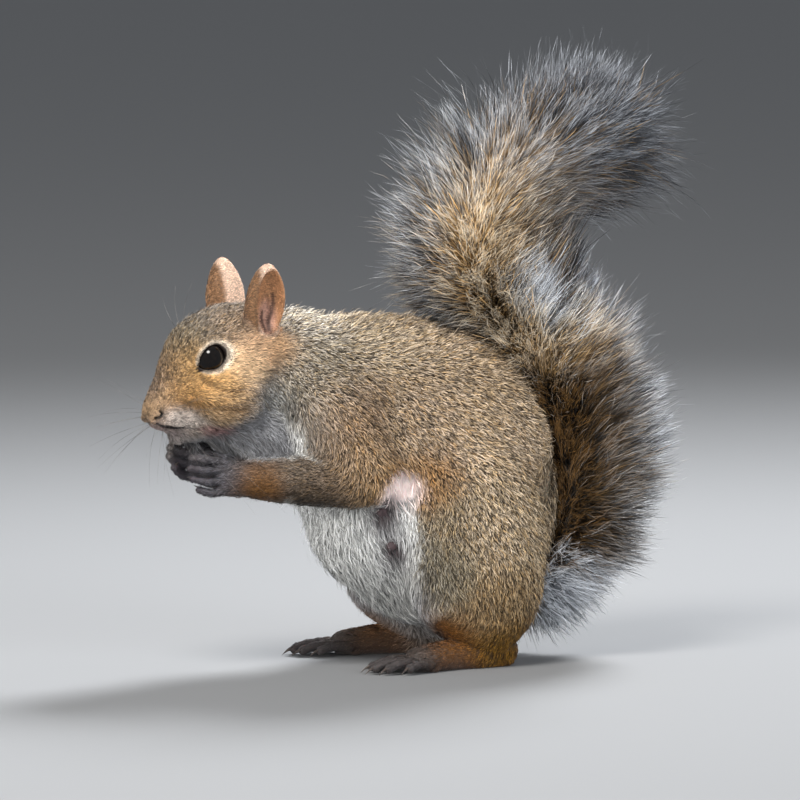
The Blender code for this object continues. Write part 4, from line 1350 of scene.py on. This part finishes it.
def shadeBrush(hair):
    # how far each point of a hair is from the end of its bands, how warm the hair is, and how dark, partly
    # with painted shade
    share, way, tip = hair["share"], hair["way"], hair["tip"]
    count = len(share)
    steps = np.append(np.repeat(bladeForms[brush["sections"]][0], 2), 1.0)
    bright = within(tip, *brushZones["silver"], 0.4) * (share < 0.66)
    bright = np.maximum(bright, within(tip, *brushZones["foot"], 0.3))
    leading = np.clip(-way[:, 1] * 1.3, 0, 1) * rising(share, 0.45, 0.1)
    late = rising(share, 0.76, 0.14) * (1 - leading)
    toTip = hair["length"][:, None] * (1 - steps)[None]
    toTip = toTip - (30 * bright + 2 * leading - 5 * late)[:, None]
    warm = abs(np.cos(hair["around"])) * 1.6 - 0.3 + random.normal(0, 0.18, count)
    warm = np.clip(warm, 0, 1) * falling(share, 0.90, 0.18) * (1 - bright)
    warm *= 1 - 0.6 * falling(share, 0.45, 0.1)
    warm *= 1 - 0.4 * np.clip(way[:, 1], 0, 1)
    # painted shade: hairs whose tips lie in the gap between the back and the brush are darkened
    paintedShade = 1 - 0.45 * within(tip, *brushZones["shade"], 0.5)
    # the side of the lower brush that faces the back is dark: partly its own umber hair, partly painted
    # shade between the brush and the back
    umberAndShade = np.clip((86 - tip[:, 1]) / 22 + random.normal(0, 0.22, count), 0, 1)
    umberAndShade *= falling(share, 0.52, 0.1) * falling(tip[:, 2], 122, 16) * (1 - bright)
    return {"toTip": toTip, "warm": warm, "umberAndShade": umberAndShade, "paintedShade": paintedShade}


def growBrush(material):
    hair = measureBrush(seedBrush(), tailEnvelope())
    spine = bendBrush(hair)
    share, radial, way = hair["share"], hair["radial"], hair["way"]
    count = len(share)
    ahead = unit(np.diff(spine, axis=1))
    facing = unit(radial * 0.8 + way * 0.2)
    side = unit(np.cross(ahead, facing[:, None]))
    roll = random.normal(0, brush["roll"], count)[:, None, None]
    across = side * np.cos(roll) + np.cross(ahead, side) * np.sin(roll)
    width = brush["width"] * random.uniform(0.7, 1.25, count)
    width = np.where(hair["fringe"], width * brush["fringeWidth"], width)
    shades = shadeBrush(hair)
    shades["chance"] = random.random(count)
    outward = unit(radial + 0.35 * way)
    uv = np.stack([share, hair["around"] / (2 * math.pi)], 1) * uvRoom
    made = []
    for label, (low, high) in brushCuts.items():
        pick = (share >= low) & (share < high)
        local = uv[pick].copy()
        local[:, 0] = (share[pick] - low) / (high - low) * uvRoom
        floats = {name: values[pick] for name, values in shades.items()}
        piece = buildTufts("brush" + label, spine[pick], across[pick], outward[pick], width[pick],
                           brush["sections"], local, floats, None)
        piece.data.materials.append(material)
        made.append(piece)
        print("tufts", piece.name, int(pick.sum()))
    return made


def makeEyes():
    make = Nodes("eyeGloss")
    place = make.add("ShaderNodeTexCoord").outputs["Object"]
    cloud = make.noise(700, 2, place)
    colour = make.ramp(cloud, ((0.3, (0.002, 0.0015, 0.0013)), (0.7, (0.006, 0.004, 0.003))))
    gloss = make.finish(colour, 0.04, Coat_Weight=0.3, Coat_Roughness=0.02, Coat_IOR=1.3,
                        Specular_IOR_Level=0.35)
    for name, sign in sides.items():
        bm = bmesh.new()
        radius = eyeRadius()
        bmesh.ops.create_uvsphere(bm, u_segments=64, v_segments=40, radius=radius * mm)
        for vert in bm.verts:
            out = vert.co.z / (radius * mm)
            vert.co.z *= 1 + 0.045 * max(out - 0.5, 0)  # the clear front stands out a little
        place = Matrix.Translation(Vector(middleOf("eye_left")) * mm) @ eyeTurn()
        bmesh.ops.transform(bm, verts=bm.verts, matrix=place)
        if sign < 0:
            flip(bm)
        eye = meshObject("eyeball_" + name, bm)
        eye.data.shade_smooth()
        eye.data.materials.append(gloss)
        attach(eye, "root")
        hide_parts("eye_" + name)


def addClaw(bm, base, heading, down, length, radius):
    # a cone bent towards down, slightly flattened at the sides
    part = bmesh.new()
    bmesh.ops.create_cone(part, cap_ends=True, segments=10, radius1=radius, radius2=radius * 0.1,
                          depth=length)
    bmesh.ops.subdivide_edges(part, edges=longEdges(part, 0.1 * length), cuts=5)
    z = heading.normalized()
    y = (down - z * down.dot(z)).normalized()
    x = y.cross(z)
    turn = Matrix((x, y, z)).transposed().to_4x4()
    for vert in part.verts:
        t = vert.co.z / length + 0.5
        vert.co.x *= 0.75
        vert.co.y += 0.42 * length * t * t
    place = Matrix.Translation(base + z * length * 0.42)
    bmesh.ops.transform(part, verts=part.verts, matrix=Matrix.Scale(mm, 4) @ place @ turn)
    bmesh.ops.recalc_face_normals(part, faces=part.faces)
    addMesh(bm, part)


def makeClaws():
    make = Nodes("clawHorn")
    grain = make.noise(1400, 2)
    colour = make.ramp(grain, ((0.3, (0.035, 0.026, 0.024)), (0.7, (0.11, 0.085, 0.07))))
    horn = make.finish(colour, 0.32, Specular_IOR_Level=0.5)
    bm = bmesh.new()
    for joints, heading in toeJoints():
        addClaw(bm, joints[-1] + heading * 1.0 + Vector((0, 0, 0.5)), heading + Vector((0, 0, 0.35)),
                Vector((0, 0, -1)), foot["claw"], 0.8)
    addMirror(bm)
    for side, sign in sides.items():
        part = bmesh.new()
        for joints, heading in fingerJoints(side):
            inward = Vector((-0.6, 0.35, -0.6))
            addClaw(part, joints[-1] + heading * 0.7, heading, inward, hand["claw"], 0.6)
        if sign < 0:
            flip(part)
        addMesh(bm, part)
    claws = meshObject("claws", bm)
    claws.data.shade_smooth()
    claws.data.materials.append(horn)
    liftOffFloor(claws.data)
    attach(claws, "root")


whiskers = {"rows": 5, "perRow": 5, "length": (20, 44), "radius": 0.06}


def addWhisker(bm, root, way, length, radius, droop):
    # a thin three-sided bristle that tapers and bends
    part = bmesh.new()
    bmesh.ops.create_cone(part, cap_ends=True, segments=3, radius1=radius, radius2=0.015, depth=1)
    bmesh.ops.subdivide_edges(part, edges=longEdges(part, 0.5), cuts=9)
    heading = way.normalized()
    side = heading.cross(Vector((0, 0, 1))).normalized()
    turn = Matrix((side, heading.cross(side), heading)).transposed()
    for vert in part.verts:
        t = vert.co.z + 0.5
        straight = turn @ Vector((vert.co.x, vert.co.y, t * length))
        vert.co = (root + straight + droop * length * t * t) * mm
    addMesh(bm, part)


def makeWhiskers(tree):
    make = Nodes("whiskerBristle")
    colour = make.ramp(make.noise(160, 1), ((0.35, (0.03, 0.027, 0.025)), (0.65, (0.30, 0.28, 0.26))))
    bristle = make.finish(colour, 0.4, Specular_IOR_Level=0.5)
    bm = bmesh.new()
    for row in range(whiskers["rows"]):
        for rank in range(whiskers["perRow"]):
            spot = Vector((6.5 + 0.5 * rank, -103.5 + 2.0 * rank, 97.0 - 1.6 * row + 0.35 * rank)) * mm
            place = tree.find_nearest(spot)[0] / mm
            low, high = whiskers["length"]
            length = low + (high - low) * (0.35 + 0.16 * rank) * random.uniform(0.8, 1.15)
            lift = 0.38 - 0.24 * row + random.normal(0, 0.06)
            back = -0.62 + 0.30 * rank + random.normal(0, 0.08)
            way = Vector((0.80, back, lift))
            droop = Vector((-0.05, 0.10, -0.16)) * random.uniform(0.4, 1.4)
            addWhisker(bm, place, way, length, whiskers["radius"], droop)
    for number in range(3):  # bristles over the eye
        place = tree.find_nearest(Vector((11, -90 + 1.6 * number, 125)) * mm)[0] / mm
        addWhisker(bm, place, Vector((0.5, -0.35 + 0.25 * number, 0.75)), 18 + 3 * number, 0.07,
                   Vector((0, 0.25, -0.1)))
    addMirror(bm)
    made = meshObject("whiskers", bm)
    made.data.shade_smooth()
    made.data.materials.append(bristle)
    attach(made, "root")


def main():
    setStudio()
    print("studio set")
    skin = makeSkin()
    points, normals = pointsOf(skin.data), normalsOf(skin.data)
    field = markings(points)
    storeColour(skin.data, "pelt", field["colour"])
    storeFloat(skin.data, "cover", field["cover"])
    skin.data.materials.append(skinMaterial())
    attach(skin, "root")
    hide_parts(*[name for name in nodes if not name.startswith("eye")])
    skin.data.calc_loop_triangles()
    flat = np.empty(len(skin.data.loop_triangles) * 3, np.int32)
    skin.data.loop_triangles.foreach_get("vertices", flat)
    triangles = flat.reshape(-1, 3)
    print("skin made,", len(triangles), "triangles")

    bm = bmesh.new()
    bm.from_mesh(skin.data)
    tree = BVHTree.FromBMesh(bm)
    bm.free()
    makeEyes()
    makeClaws()
    makeWhiskers(tree)
    print("eyes, claws and whiskers made")

    growCoats((points, triangles, normals, field), tree)
    for piece in growBrush(brushMaterial()):
        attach(piece, "root")
    print("coat grown")


main()
